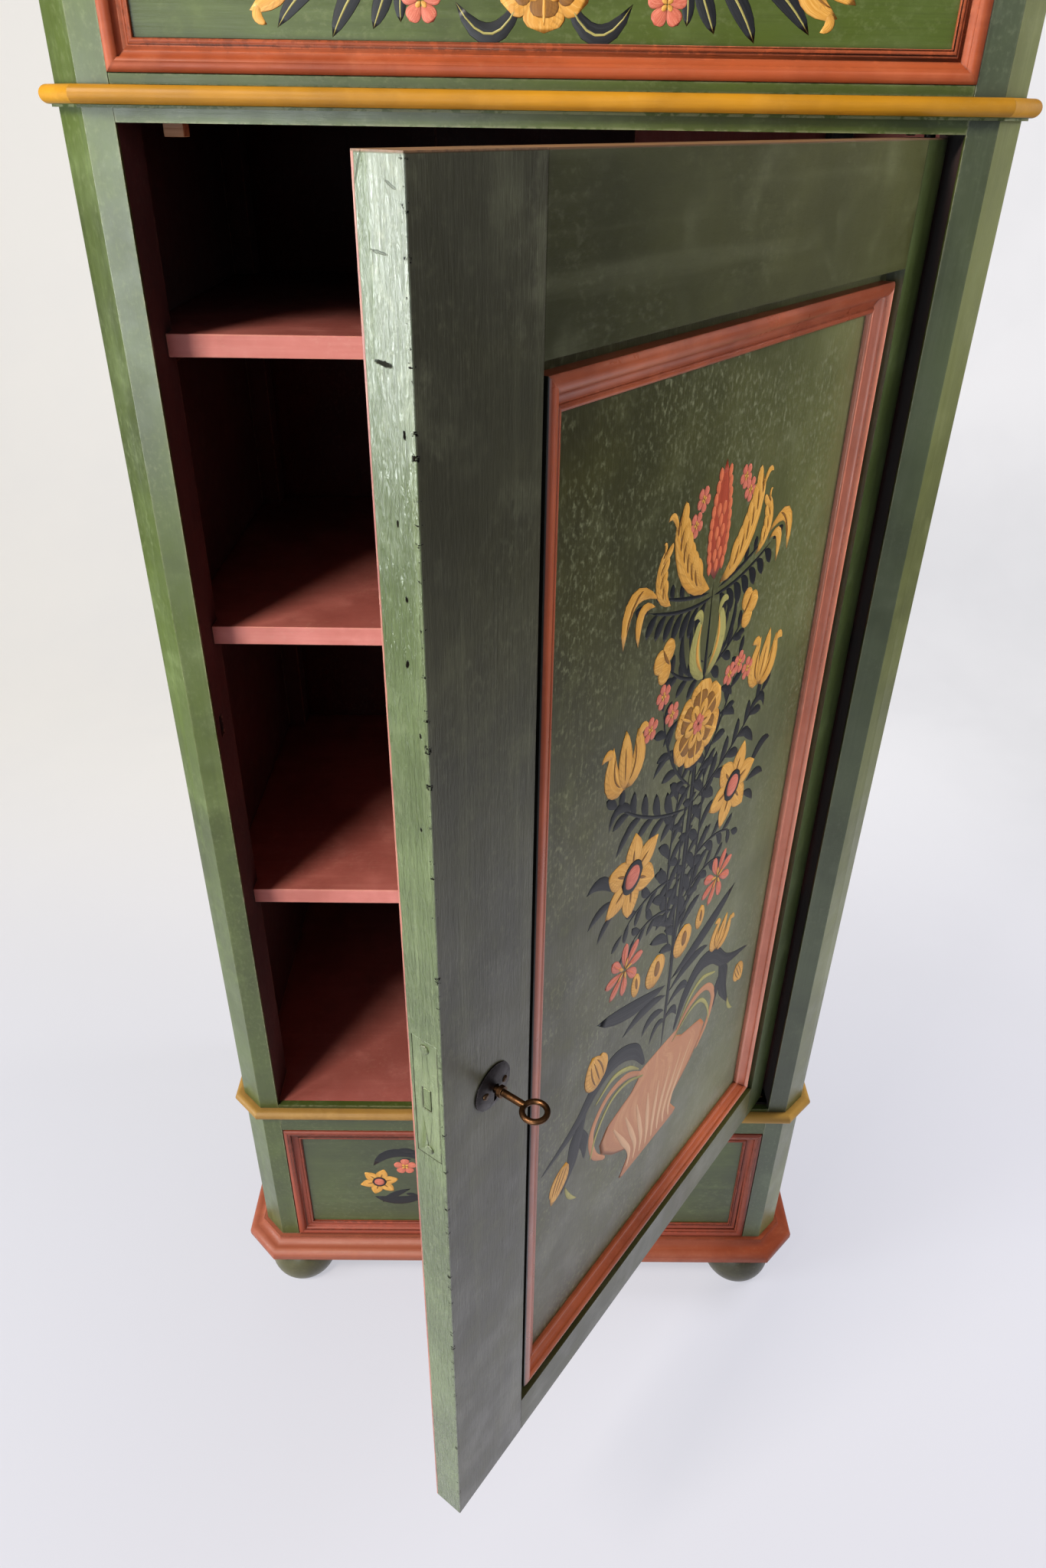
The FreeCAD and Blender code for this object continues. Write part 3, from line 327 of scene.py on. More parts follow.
# Painted light: a lighter olive for the right post's cant.
litCantCoat = {**greenCoat, "Base": "#6b713d", "Pale": "#8d9262", "Deep": "#52572c"}
fieldCoat = {**greenCoat, "Base": "#414e1e", "Pale": "#687848", "Deep": "#303a17"}
doorCoat = {**greenCoat, "Base": "#46452e", "Pale": "#6e7054", "Deep": "#333223", "Undercoat": "#2a1d12",
            "Fleck": 0.18, "Ridge": 0.22}
# Painted light: a lighter copy of the door's coat towards its hinge side.
hingeLitCoat = {**doorCoat, "Base": "#4c5a2c", "Pale": "#707e50", "Deep": "#3a4620"}
railCoat = {**doorCoat, "Base": "#393a1a", "Deep": "#2a2b13"}
# Painted light: a lighter copy of the rail coat towards the hinge side.
railLitCoat = {**doorCoat, "Base": "#555629", "Pale": "#787c50", "Deep": "#43441e"}
# Painted light: a lighter copy of the door's coat towards its hinge side.
doorLitCoat = {**doorCoat, "Base": "#60622f", "Pale": "#84885a", "Deep": "#4c4e22"}
panelCoat = {**doorCoat, "Base": "#403f14", "Pale": "#70744a", "Deep": "#28270a", "Fleck": 0.8,
             "Streak": 0.25, "Ridge": 0.12}
# Painted light: a lighter copy of the panel coat towards the hinge side.
panelLitCoat = {**panelCoat, "Base": "#696d40", "Pale": "#8c9070", "Deep": "#50552c"}
edgeCoat = {**greenCoat, "Base": "#6c7c53", "Pale": "#96a47c", "Deep": "#4e5b3a", "Undercoat": "#2a2214",
            "Streak": 0.8, "Gloss": 0.24, "Ridge": 1.0}
plateCoat = {**edgeCoat, "Base": "#76855a"}
# Painted sheen: a pale, flecked copy of the free edge's coat at its top.
edgeSheenCoat = {**edgeCoat, "Base": "#8a9482", "Pale": "#abb3a4", "Deep": "#6a7362", "Fleck": 0.6}
roseCoat = {"Base": "#ae655c", "Pale": "#c27c72", "Deep": "#8c4a42", "Undercoat": "#c79a7a",
            "Chips": 0.5, "Fleck": 0.2, "Streak": 0.4, "Gloss": 0.55}
# Paler paint on the shelves' front edges, lightened further as a painted sheen.
lipCoatAndSheen = {**roseCoat, "Base": "#d88d88", "Pale": "#e6a6a0", "Deep": "#b87068", "Gloss": 0.6}
# Painted shade: the rose paint darkened, for the left inside wall, the cleats, the posts' insides and all
# back planks but the right one.
shadedWallCoat = {**roseCoat, "Base": "#4c1c19", "Pale": "#5c2a27", "Deep": "#3a1210", "Gloss": 0.85}
terracottaCoat = {"Base": "#ab5430", "Pale": "#c4714c", "Deep": "#823a20", "Undercoat": "#3a1d14",
                  "Chips": 0.6, "Fleck": 0.1, "Streak": 0.35, "Gloss": 0.42, "DirtAndShade": 0.25}
lowStripCoat = {**terracottaCoat, "Base": "#903f2a", "Pale": "#a6543c", "Deep": "#763220", "DirtAndShade": 0.2}
baseCoat = {**terracottaCoat, "Base": "#93503a", "Gloss": 0.5, "DirtAndShade": 0.6}
doorStripCoat = {**terracottaCoat, "Base": "#bd6038", "Pale": "#d88662", "Gloss": 0.32, "DirtAndShade": 0.7}
# Painted shade: a darker copy of the moulding paint for the lock side's upright.
shadedLockStripCoat = {**doorStripCoat, "Base": "#a5502e", "Pale": "#bd7050"}
# Painted highlight: a much lighter copy of the moulding paint for the hinge side's upright.
litHingeStripCoat = {**doorStripCoat, "Base": "#fa9e7e", "Pale": "#ffc0a8", "Deep": "#d87c5c", "Gloss": 0.45,
                  "DirtAndShade": 0.5}
ochreCoat = {"Base": "#bc8518", "Pale": "#d29f3c", "Deep": "#956814", "Undercoat": "#5a4526",
             "Chips": 0.6, "Fleck": 0.1, "Streak": 0.4, "Gloss": 0.5}
lowOchre = {**ochreCoat, "Base": "#ae863e", "Pale": "#c69e5c", "Deep": "#8a6830"}
footCoat = {**greenCoat, "Base": "#54522e", "Pale": "#757150", "Deep": "#34321c", "Fleck": 0.2}
palePine = {"Base": "#b98e5e", "Ring": "#8a5f36", "Grey": "#8f7a60", "Age": 0.5}
darkPine = {"Base": "#7a5636", "Ring": "#553a22", "Grey": "#6b5846", "Age": 0.6}
ironCoat = {"Base": "#2c2627", "Bright": "#6d6462", "Film": "#1b1516"}
bronzeCoat = {"Base": "#6e4c32", "Bright": "#9c7750", "Film": "#3a281a"}
screwCoat = {**bronzeCoat, "Base": "#4c3828"}


def coatInputs(coat):
    return {name: tone(value) if isinstance(value, str) else value for name, value in coat.items()}


# Object coordinates with the grain turned to Z. In the door they are turned to the closed door,
# so that X runs from the free edge to the pivot line, Y is the depth and Z the height.
def grainPlace(graph, grain, onDoor):
    place = graph.node("TexCoord").outputs["Object"]
    if onDoor:
        place = graph.node("Mapping", {"Vector": place, "Location": pivot[:2] + (0.0,),
                                       "Rotation": (0, 0, openAngle)}, vector_type="TEXTURE").outputs[0]
    x, y, z = graph.split(place)
    return {"x": graph.join(y, z, x), "y": graph.join(x, z, y), "z": place}[grain], (x, y, z)


def blendCoats(graph, mask, first, second):
    return {"Colour": graph.mix(mask, first["Colour"], second["Colour"]),
            "Roughness": graph.blend(mask, first["Roughness"], second["Roughness"]),
            "Height": graph.blend(mask, first["Height"], second["Height"])}


# A material of one or more coats: each later coat lies where its mask, worked out from the place, says.
# Where fade names a mask and a coat, the colours of the first coat ease into those: painted light and shade.
# Matt is a mask of the places without varnish, and hollow one of holes. The shade reach is how far, in
# metres, closed-in places are painted dark as shade, and where matt is given, only those that it holds.
def makeMaterial(group, coat, grain="z", onDoor=False, over=(), metallic=0.0, varnish=0.0, bump=0.35,
                 grainStep=0.0006, hollow=None, fade=None, shine=0.5, matt=None, shadeReach=0.0):
    material = bpy.data.materials.new("finish")
    material.use_nodes = True
    graph = Graph(material.node_tree)
    shader = graph.tree.nodes["Principled BSDF"]
    place, axes = grainPlace(graph, grain, onDoor)
    given = coatInputs(coat)
    if fade:
        share, faded = fade[0](graph, *axes), coatInputs(fade[1])
        given = {part: graph.mix(share, value, faded[part]) if isinstance(value, tuple) else value
                 for part, value in given.items()}
    made = graph.use(group, Place=place, **given)
    for mask, overGroup, overCoat in over:
        made = blendCoats(graph, mask(graph, *axes), made,
                          graph.use(overGroup, Place=place, **coatInputs(overCoat)))
    dressShader(graph, shader, made, metallic, varnish, bump, grainStep, shine)
    if shadeReach:
        # painted shade: far inside the case the colour goes near-black
        reached = graph.node("AmbientOcclusion", {"Distance": shadeReach}, samples=4).outputs["AO"]
        paintedShade = graph.spread(reached, 0.04, 0.4, 0.95, 0.0)
        if matt:
            paintedShade = graph.times(paintedShade, matt(graph, *axes))
        graph.feed(shader.inputs["Base Color"], graph.mix(paintedShade, made["Colour"], tone(stainsAndShade["paintedShade"])))
    if matt:
        bare = matt(graph, *axes)
        graph.feed(shader.inputs["Coat Weight"], graph.math("MULTIPLY_ADD", bare, -varnish, varnish))
    if hollow:
        # no light comes back from the bottom of a hole
        hole = hollow(graph, *axes)
        graph.feed(shader.inputs["Metallic"], hole)
        graph.feed(shader.inputs["Coat Weight"], graph.math("MULTIPLY_ADD", hole, -varnish, varnish))
    return material


varnishRoughness = 0.28


def dressShader(graph, shader, made, metallic, varnish, bump, grainStep, shine):
    graph.feed(shader.inputs["Base Color"], made["Colour"])
    graph.feed(shader.inputs["Roughness"], made["Roughness"])
    shader.inputs["Metallic"].default_value = metallic
    shader.inputs["Coat Weight"].default_value = varnish
    shader.inputs["Coat Roughness"].default_value = varnishRoughness
    shader.inputs["Specular IOR Level"].default_value = shine
    relief = graph.node("Bump", {"Strength": bump, "Distance": grainStep, "Height": made["Height"]})
    graph.feed(shader.inputs["Normal"], relief.outputs[0])


# Masks, in metres of the piece's own place.
softEdge = 0.0006      # half the width over which one coat gives way to the next


def above(axis, level, soft=softEdge):
    def mask(graph, x, y, z):
        return graph.spread((x, y, z)["xyz".index(axis)], level - soft, level + soft)
    return mask


def under(axis, level, soft=softEdge):
    def mask(graph, x, y, z):
        return graph.spread((x, y, z)["xyz".index(axis)], level + soft, level - soft)
    return mask


# Depths in metres, on Y, at which the front coat of a piece ends.
coatEnds = {"post": 0.0170, "rebate": 0.00325, "door": 0.0127, "panel": 0.009, "edges": 0.008,
            "frieze": 0.0172, "drawer": 0.0068}
filletTop = 0.0021     # green fillet below each ochre bead, from the bead piece's underside
edgeSkin = 0.0005      # how far the free edge's own coat reaches round


# Where the posts' inner faces take the inside-wall coat that is painted shade.
def insidePost(graph, x, y, z):
    away = graph.math("ABSOLUTE", x)
    back = graph.times(above("y", coatEnds["post"], 0.0005)(graph, x, y, z),
                       graph.spread(away, wallInside - 0.0002, wallInside - 0.0006))
    side = graph.times(above("y", coatEnds["rebate"], 0.00075)(graph, x, y, z),
                       graph.spread(away, postInside + 0.0010, postInside + 0.0005))
    return graph.larger(back, side)


def onRight(graph, x):
    return graph.spread(x, 0.0, 0.1)


# How squarely a face looks to the front where a post's front begins, and where its cant does.
facings = {"front": (0.8, 0.95), "cant": (0.3, 0.5)}


def facingFront(graph):
    normal = graph.node("NewGeometry").outputs["Normal"]
    return graph.vector("DOT_PRODUCT", normal, (0.0, -1.0, 0.0)).outputs["Value"]


def rightFront(graph, x, y, z):
    return graph.times(graph.spread(facingFront(graph), *facings["front"]), onRight(graph, x))


# Painted sheen: heights between which the right post's front turns pale from its top down, and eases again
# to its foot.
postSheen = {"top": (1.32, 1.16), "foot": (0.3, 0.85), "footShare": 0.4}


def sheenFront(graph, x, y, z):
    lower = graph.times(graph.spread(z, *postSheen["top"]),
                        graph.spread(z, *postSheen["foot"], postSheen["footShare"], 1.0))
    return graph.times(rightFront(graph, x, y, z), lower)


# Where the right post's cant takes the lighter olive that is painted light.
def rightCant(graph, x, y, z):
    facing = facingFront(graph)
    sloping = graph.times(graph.spread(facing, *facings["cant"]),
                          graph.spread(facing, *reversed(facings["front"])))
    return graph.times(sloping, onRight(graph, x))


def insideWall(graph, x, y, z):
    return graph.spread(graph.math("ABSOLUTE", x), wallInside + 0.001, wallInside + 0.0004)


# The right inside wall keeps the plain rose, unlike the painted shade of the left one.
def rightWall(graph, x, y, z):
    return graph.times(insideWall(graph, x, y, z), onRight(graph, x))


def leftWall(graph, x, y, z):
    return graph.times(insideWall(graph, x, y, z), graph.spread(x, 0.0, -0.1))


def behindDoor(graph, x, y, z):
    ragged = graph.times(graph.noise(graph.join(x, y, z), 45.0, 3.0), 0.0016)
    return graph.spread(graph.plus(y, ragged), coatEnds["door"] - 0.0003, coatEnds["door"] + 0.0003)


# Painted light: the door's colours are lighter towards its hinge side, in metres from the pivot line.
hingeLight = {"start": -0.40, "end": 0.08, "cloud": 0.16}


def litTowardsHinge(graph, x, y, z):
    cloud = graph.times(graph.noise(graph.join(x, y, z), 7.0, 3.0), hingeLight["cloud"])
    return graph.spread(graph.plus(x, cloud), hingeLight["start"], hingeLight["end"])


def doorTop(graph, x, y, z):
    return graph.spread(z, doorHigh - 0.0012, doorHigh - 0.0004)


# Worm holes, dents and scratches in the free edge of the door, painted near-black as the shade inside them:
# depth from its front and height of each, its half height and half depth, all in millimetres, its lean in
# degrees, and how dark it is.
edgeMarks = {"depths": (5.8, 12.0, 9.0, 10.5, 14.4, 7.0, 4.5, 22.7, 6.8, 14.5),
             "heights": (1259.6, 1222.0, 1188.6, 1156.5, 1285.6, 1066.0, 1121.0, 1352.4, 1347.0, 1325.0),
             "tall": (1.9, 1.6, 1.9, 2.4, 1.1, 1.4, 1.6, 7.2, 0.6, 0.6),
             "deep": (0.9, 0.6, 0.8, 1.0, 5.6, 0.8, 0.7, 0.5, 3.2, 4.6),
             "lean": (0, 0, -10, 14, 8, 0, -8, 20, 26, 8),
             "strength": (1, 1, 1, 1, 0.95, 1, 1, 0.5, 0.45, 0.5)}
holeRim = {"ragged": 1.3, "outer": 1.7, "inner": 1.3}     # in shares of a mark's half size


def edgeHoles(graph, x, y, z):
    ragged = graph.times(graph.noise(graph.join(x, y, z), 700.0, 3.0), holeRim["ragged"])
    total = 0.0
    for depth, height, tall, deep, lean, strength in zip(*edgeMarks.values()):
        spot = graph.node("Mapping", {"Vector": graph.join(y, z, 0.0),
                                      "Location": (depth / 1000 - doorHalf, height / 1000, 0.0),
                                      "Rotation": (0, 0, math.radians(lean)),
                                      "Scale": (deep / 1000, tall / 1000, 1.0)}, vector_type="TEXTURE")
        away = graph.plus(graph.vector("LENGTH", spot.outputs[0]).outputs["Value"], ragged)
        mark = graph.spread(away, holeRim["outer"], holeRim["inner"], 0.0, strength)
        total = graph.larger(mark, total)
    return graph.times(total, onEdge(graph, x, y, z))


def onEdge(graph, x, y, z):
    return graph.spread(x, edgeSkin + 0.0004 - doorReach, edgeSkin - doorReach)


# A painted sheen, pale and flecked, at the top of the free edge, on its front two thirds: heights between
# which it sets in, and depths between which it ends.
edgeSheenPlace = {"heights": (1.28, 1.42), "depths": (0.0085, 0.0065)}


def edgeSheen(graph, x, y, z):
    cloud = graph.times(graph.noise(graph.join(x, y, z), 16.0, 4.0, 0.65), 0.12)
    high = graph.spread(graph.plus(z, cloud), *edgeSheenPlace["heights"])
    front = graph.spread(graph.math("MULTIPLY_ADD", cloud, 0.05, y), *edgeSheenPlace["depths"])
    return graph.times(graph.times(high, front), onEdge(graph, x, y, z))


# Paint knocked off the front arris of the free edge, shown near-black as painted shade: how near to it, and
# from which noise on.
arrisBites = {"near": (0.0026, 0.0014), "noise": (0.72, 0.76)}


def arrisChips(graph, x, y, z):
    near = graph.larger(graph.plus(x, doorReach), graph.plus(y, doorHalf))
    crumb = graph.times(graph.noise(graph.join(x, y, z), 700.0, 2.0), 0.3)
    bite = graph.plus(graph.noise(graph.join(0.0, 0.0, z), 110.0, 4.0, 0.7), crumb)
    return graph.times(graph.spread(near, *arrisBites["near"]), graph.spread(bite, *arrisBites["noise"]))


def edgeHollows(graph, x, y, z):
    return graph.larger(edgeHoles(graph, x, y, z), arrisChips(graph, x, y, z))


# Painted shade: the outer side of the door moulding at the lock stile, down in its groove, is painted
# near-black.
ringLow = doorBox("door_moulding_left")[0]


def shadedGrooveSide(graph, x, y, z):
    return graph.spread(x, ringLow[0] + 0.0010, ringLow[0] + 0.0004)


# Near-black painted shade down in the door moulding's groove.
grooveShadeCoat = {**doorCoat, "Base": "#15160c", "Pale": "#24261a", "Deep": "#0a0a06"}
# Near-black painted shade for the holes and chips in the free edge.
holeShade = {"Base": "#120d08", "Ring": "#0a0705", "Grey": "#1a140e", "Age": 0.2}
behindEdge = above("y", coatEnds["edges"])
rose = (paintGroup, roseCoat)
wall = (paintGroup, shadedWallCoat)
pine = (woodGroup, palePine)


def fillet(pieceName):
    return [(under("z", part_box(pieceName)[0].z + filletTop, 0.0002), paintGroup, greenCoat)]


finishes = {
    "postGreen": makeMaterial(paintGroup, greenCoat,
                              over=[(sheenFront, paintGroup, sheenCoolCoat), (rightCant, paintGroup, litCantCoat),
                                    (insidePost, *wall)],
                              varnish=0.3, fade=(rightFront, shadedCoolCoat), matt=insidePost, shadeReach=0.5),
    "wallGreen": makeMaterial(paintGroup, greenCoat, over=[(insideWall, *wall), (rightWall, *rose)],
                              varnish=0.3, matt=leftWall, shadeReach=0.5),
    "boardGreen": makeMaterial(paintGroup, greenCoat, "x", varnish=0.3),
    "friezeGreen": makeMaterial(paintGroup, greenCoat, "x",
                                over=[(above("y", coatEnds["frieze"]), *pine)], varnish=0.12, shine=0.35),
    "edgeRose": makeMaterial(paintGroup, greenCoat, "x", over=[(behindEdge, *rose)],
                             varnish=0.2, matt=behindEdge, shadeReach=0.4),
    "shelfRose": makeMaterial(paintGroup, lipCoatAndSheen, "x", over=[(above("y", lip), *rose)],
                              shine=0.2, shadeReach=0.4),
    "backRose": makeMaterial(*rose, shine=0.1,
                             over=[(above("y", backFace + 0.0006), woodGroup, darkPine)]),
    "cleatRose": makeMaterial(*wall, "y", shine=0.2, shadeReach=0.4),
    "backPlank": makeMaterial(*wall, shadeReach=0.4, shine=0.1,
                              over=[(above("y", backFace + 0.0006), woodGroup, darkPine)]),
    "stileGreen": makeMaterial(paintGroup, doorCoat, "z", True,
                               [(onEdge, paintGroup, edgeCoat), (edgeSheen, paintGroup, edgeSheenCoat),
                                (behindDoor, *rose), (doorTop, woodGroup, darkPine),
                                (edgeHoles, woodGroup, holeShade), (arrisChips, woodGroup, holeShade)],
                               varnish=0.2, bump=0.8, hollow=edgeHollows, fade=(litTowardsHinge, doorLitCoat)),
    "hingeGreen": makeMaterial(paintGroup, doorCoat, "z", True,
                               [(behindDoor, *rose), (doorTop, woodGroup, darkPine)], varnish=0.2,
                               fade=(litTowardsHinge, hingeLitCoat)),
    "railGreen": makeMaterial(paintGroup, railCoat, "x", True,
                              [(behindDoor, *rose), (doorTop, woodGroup, darkPine)], varnish=0.2,
                              fade=(litTowardsHinge, railLitCoat)),
    "plateGreen": makeMaterial(paintGroup, {**plateCoat, "Chips": 1.0}, "z", True, varnish=0.3),
    "panelGreen": makeMaterial(paintGroup, panelCoat, "z", True,
                               [(above("y", coatEnds["panel"]), *rose)], varnish=0.2, bump=0.5,
                               fade=(litTowardsHinge, panelLitCoat)),
    "doorStripUpright": makeMaterial(paintGroup, shadedLockStripCoat, "z", True,
                                     [(shadedGrooveSide, paintGroup, grooveShadeCoat)], varnish=0.4),
    "doorStripHinge": makeMaterial(paintGroup, litHingeStripCoat, "z", True, varnish=0.2),
    "doorStripLevel": makeMaterial(paintGroup, doorStripCoat, "x", True,
                                   [(shadedGrooveSide, paintGroup, grooveShadeCoat)], varnish=0.3),
    "strip": makeMaterial(paintGroup, terracottaCoat, "x", shine=0.25),
    "lowStrip": makeMaterial(paintGroup, lowStripCoat, "x", shine=0.35),
    "base": makeMaterial(paintGroup, baseCoat, "x", shine=0.4),
    "beadLow": makeMaterial(paintGroup, lowOchre, "x", over=fillet("lower_bead"), shine=0.3),
    "beadHigh": makeMaterial(paintGroup, ochreCoat, "x", over=fillet("upper_bead"), shine=0.3),
    "knob": makeMaterial(paintGroup, ochreCoat, "x", varnish=0.3),
    "foot": makeMaterial(paintGroup, footCoat, "x", varnish=0.1),
    "drawerGreen": makeMaterial(paintGroup, fieldCoat, "x",
                                over=[(above("y", coatEnds["drawer"]), *pine)], varnish=0.3),
    "pineLong": makeMaterial(*pine, "x", bump=0.5),
    "pineDeep": makeMaterial(*pine, "y", bump=0.5),
    "pineOld": makeMaterial(woodGroup, darkPine, "x", bump=0.5),
    "iron": makeMaterial(metalGroup, ironCoat, metallic=0.85, grainStep=0.0002),
    "boltIron": makeMaterial(metalGroup, ironCoat, "z", True, [(onEdge, paintGroup, plateCoat)],
                             metallic=0.3, grainStep=0.0002),
    "bronze": makeMaterial(metalGroup, bronzeCoat, metallic=1.0, grainStep=0.0002),
    "screwIron": makeMaterial(metalGroup, screwCoat, metallic=0.9, grainStep=0.0002),
}

finishOf = {
    "postGreen": ["corner_post_front_left", "corner_post_front_right", "corner_post_rear_left",
                  "corner_post_rear_right"],
    "wallGreen": ["side_board_left", "side_board_right"],
    "boardGreen": ["drawer_rail", "cornice"],
    "friezeGreen": ["frieze_board"],
    "edgeRose": ["sill_board", "head_board"],
    "shelfRose": ["shelf_low", "shelf_middle", "shelf_high"],
    "cleatRose": ["shelf_cleats"],
    "backPlank": ["back_plank_left", "back_plank_middle"],
    "backRose": ["back_plank_right"],
    "stileGreen": ["door_stile_lock"],
    "hingeGreen": ["door_stile_hinge"],
    "plateGreen": ["lock_face_plate", "face_plate_screws"],
    "railGreen": ["door_rail_top", "door_rail_bottom"],
    "panelGreen": ["door_panel"],
    "doorStripUpright": ["door_moulding_left"],
    "doorStripHinge": ["door_moulding_right"],
    "doorStripLevel": ["door_moulding_top", "door_moulding_bottom"],
    "strip": ["frieze_moulding"],
    "lowStrip": ["drawer_moulding"],
    "base": ["plinth_moulding"],
    "beadLow": ["lower_bead"],
    "beadHigh": ["upper_bead"],
    "knob": ["drawer_knob"],
    "foot": ["bun_foot_front_left", "bun_foot_front_right", "bun_foot_rear_left", "bun_foot_rear_right"],
    "drawerGreen": ["drawer_front"],
    "pineLong": ["bottom_board", "stop_block", "drawer_back", "drawer_bottom"],
    "pineOld": ["top_board"],
    "pineDeep": ["drawer_side_left", "drawer_side_right", "drawer_guides"],
    "boltIron": ["lock_bolt"],
    "iron": ["lock_case", "lock_cover", "pivot_pin_bottom", "pivot_pin_top",
             "pivot_socket_bottom", "pivot_socket_top", "keyhole_rosette"],
    "bronze": ["key"],
    "screwIron": ["rosette_screws", "socket_screws"],
}
for finishName, pieceNames in finishOf.items():
    finishes[finishName].name = finishName
    for pieceName in pieceNames:
        nodes[pieceName].data.materials.clear()
        nodes[pieceName].data.materials.append(finishes[finishName])
print("finishes:", len(finishes))

# Rounded arrises on the boards and posts, in metres and degrees. Turned and small pieces have none.
arris = {"radius": 0.0008, "fine": 0.0004, "steps": 2, "join": 0.00001, "angle": 40,
         "fineOn": ("corner_post", "head_board", "drawer_rail"),
         "noneOn": ("bun_foot", "key", "lock_c", "drawer_knob", "pivot_pin", "lower_bead", "upper_bead")}
for name, node in nodes.items():
    if name.startswith(arris["noneOn"]) or name.endswith("_screws"):
        continue
    joined = node.modifiers.new("joined", "WELD")
    joined.merge_threshold = arris["join"]
    rounded = node.modifiers.new("rounded", "BEVEL")
    rounded.width = arris["fine" if name.startswith(arris["fineOn"]) else "radius"]
    rounded.segments = arris["steps"]
    rounded.limit_method = "ANGLE"
    rounded.angle_limit = math.radians(arris["angle"])
    rounded.harden_normals = True


# Painted ornament. A stroke is a row of ten numbers in millimetres: start x, y; pull x, y; end x, y;
# greatest width; where it is widest (1 is the middle, less is nearer the start); bluntness of its
# ends; and its layer. X runs to the right and Y up, as the painter sees the board.
def stroke(start, pull, end, width, peak=1.0, blunt=0.8, layer=0):
    return [*start, *pull, *end, width, peak, blunt, layer]


# Rows scaled, turned by degrees, shifted, and then mirrored.
def moved(rows, shift=(0, 0), turn=0.0, scale=1.0, mirror=False):
    rows = np.array(rows, float).reshape(-1, 10)
    angle = math.radians(turn)
    spin = np.array([[math.cos(angle), math.sin(angle)], [-math.sin(angle), math.cos(angle)]])
    points = (rows[:, :6].reshape(-1, 3, 2) * scale) @ spin + np.array(shift)
    rows[:, :6] = (points * (np.array([-1, 1]) if mirror else 1)).reshape(-1, 6)
    rows[:, 6] *= scale
    return rows


# Petals lie evenly about a centre, from radius inner to radius outer.
def petals(count, inner, outer, width, first=90.0, bend=0.0, peak=1.4, blunt=0.8, layer=0):
    angles = np.radians(first + 360.0 / count * np.arange(count))
    way = np.stack([np.cos(angles), np.sin(angles)], 1)
    side = np.stack([-way[:, 1], way[:, 0]], 1)
    middle = way * (inner + outer) / 2 + side * bend
    tail = np.tile([width, peak, blunt, layer], (count, 1))
    return np.hstack([way * inner, middle, way * outer, tail])


def disc(x, y, radius, layer=1):
    return stroke((x - radius, y), (x, y), (x + radius, y), 2 * radius, 1.0, 0.5, layer)


stemWidth = 3.0        # of a spray, in millimetres


# Leaves stand along a stem that follows a quadratic curve: in turn on both sides, or, where side is
# 1 or -1, all on that side like a comb. A lone leaf ends the stem.
def spray(start, pull, end, count, length, width, lean=48.0, side=0):
    a, b, c = (np.array(point, float) for point in (start, pull, end))
    t = np.linspace(0.12, 1.0, count)[:, None]
    foot = (1 - t) ** 2 * a + 2 * t * (1 - t) * b + t ** 2 * c
    way = (1 - t) * (b - a) + t * (c - b)
    heading = np.arctan2(way[:, 1], way[:, 0])
    turn = np.where(np.arange(count) % 2, 1.0, -1.0) if side == 0 else np.full(count, float(side))
    turn[-1] = 0.0
    heading = heading + turn * np.radians(lean)
    size = length * (1.0 - 0.35 * t[:, 0])
    tip = foot + size[:, None] * np.stack([np.cos(heading), np.sin(heading)], 1)
    bow = np.stack([np.sin(heading), -np.cos(heading)], 1) * (turn * 0.22 * size)[:, None]
    tail = np.stack([width * (1.0 - 0.25 * t[:, 0]), np.full(count, 1.25), np.full(count, 0.7),
                     np.zeros(count)], 1)
    return np.vstack([np.hstack([foot, (foot + tip) / 2 + bow, tip, tail]),
                      [stroke(start, pull, end, stemWidth, 0.8, 0.4)]])


# A picture is a dictionary of colour name and rows, and motifs add to it.
def starFlower(size, turn=0.0):
    return {"yellow": petals(6, 0.08 * size, size, 0.6 * size, 90 + turn, 0.0, 0.95, 0.95, 1),
            "brown": petals(6, 0.3 * size, 0.62 * size, 0.07 * size, 90 + turn, 0.0, 0.8, 0.8, 3),
            "dark": [disc(0, 0, 0.37 * size, 4)],
            "pink": [stroke((-0.27 * size, 0), (0, 0), (0.27 * size, 0), 0.52 * size, 1.0, 0.5, 5)]}


def rosette(size):
    return {"yellow": np.vstack([petals(6, 0.15 * size, size, 0.86 * size, 90, 0, 1.7, 0.5, 1),
                                 petals(6, 0.3 * size, 0.88 * size, 0.07 * size, 90, 0, 1.0, 0.6, 3),
                                 petals(6, 0.06 * size, 0.56 * size, 0.34 * size, 60, 0, 1.2, 0.7, 4)]),
            "brown": np.vstack([petals(6, 0.22 * size, 0.78 * size, 0.6 * size, 90, 0, 1.5, 0.5, 2),
                                petals(6, 0.12 * size, 0.4 * size, 0.06 * size, 60, 0, 1.0, 0.6, 5)]),
            "pink": np.vstack([petals(5, 0.02 * size, 0.24 * size, 0.2 * size, 90, 0, 1.3, 0.6, 6)])}


def blossom(size):
    return {"pink": petals(5, 0.1 * size, size, 0.78 * size, 90, 0, 1.5, 0.5, 1),
            "yellow": petals(4, 0.02 * size, 0.36 * size, 0.24 * size, 45, 0, 1.2, 0.6, 2)}


def carnation(size):
    return {"pink": petals(8, 0.1 * size, size, 0.36 * size, 90, 0.07 * size, 1.5, 0.65, 1),
            "coral": petals(8, 0.2 * size, 0.85 * size, 0.08 * size, 90, 0.07 * size, 1.2, 0.7, 2),
            "yellow": petals(5, 0.05 * size, 0.4 * size, 0.11 * size, 70, 0, 1.0, 0.6, 3)}


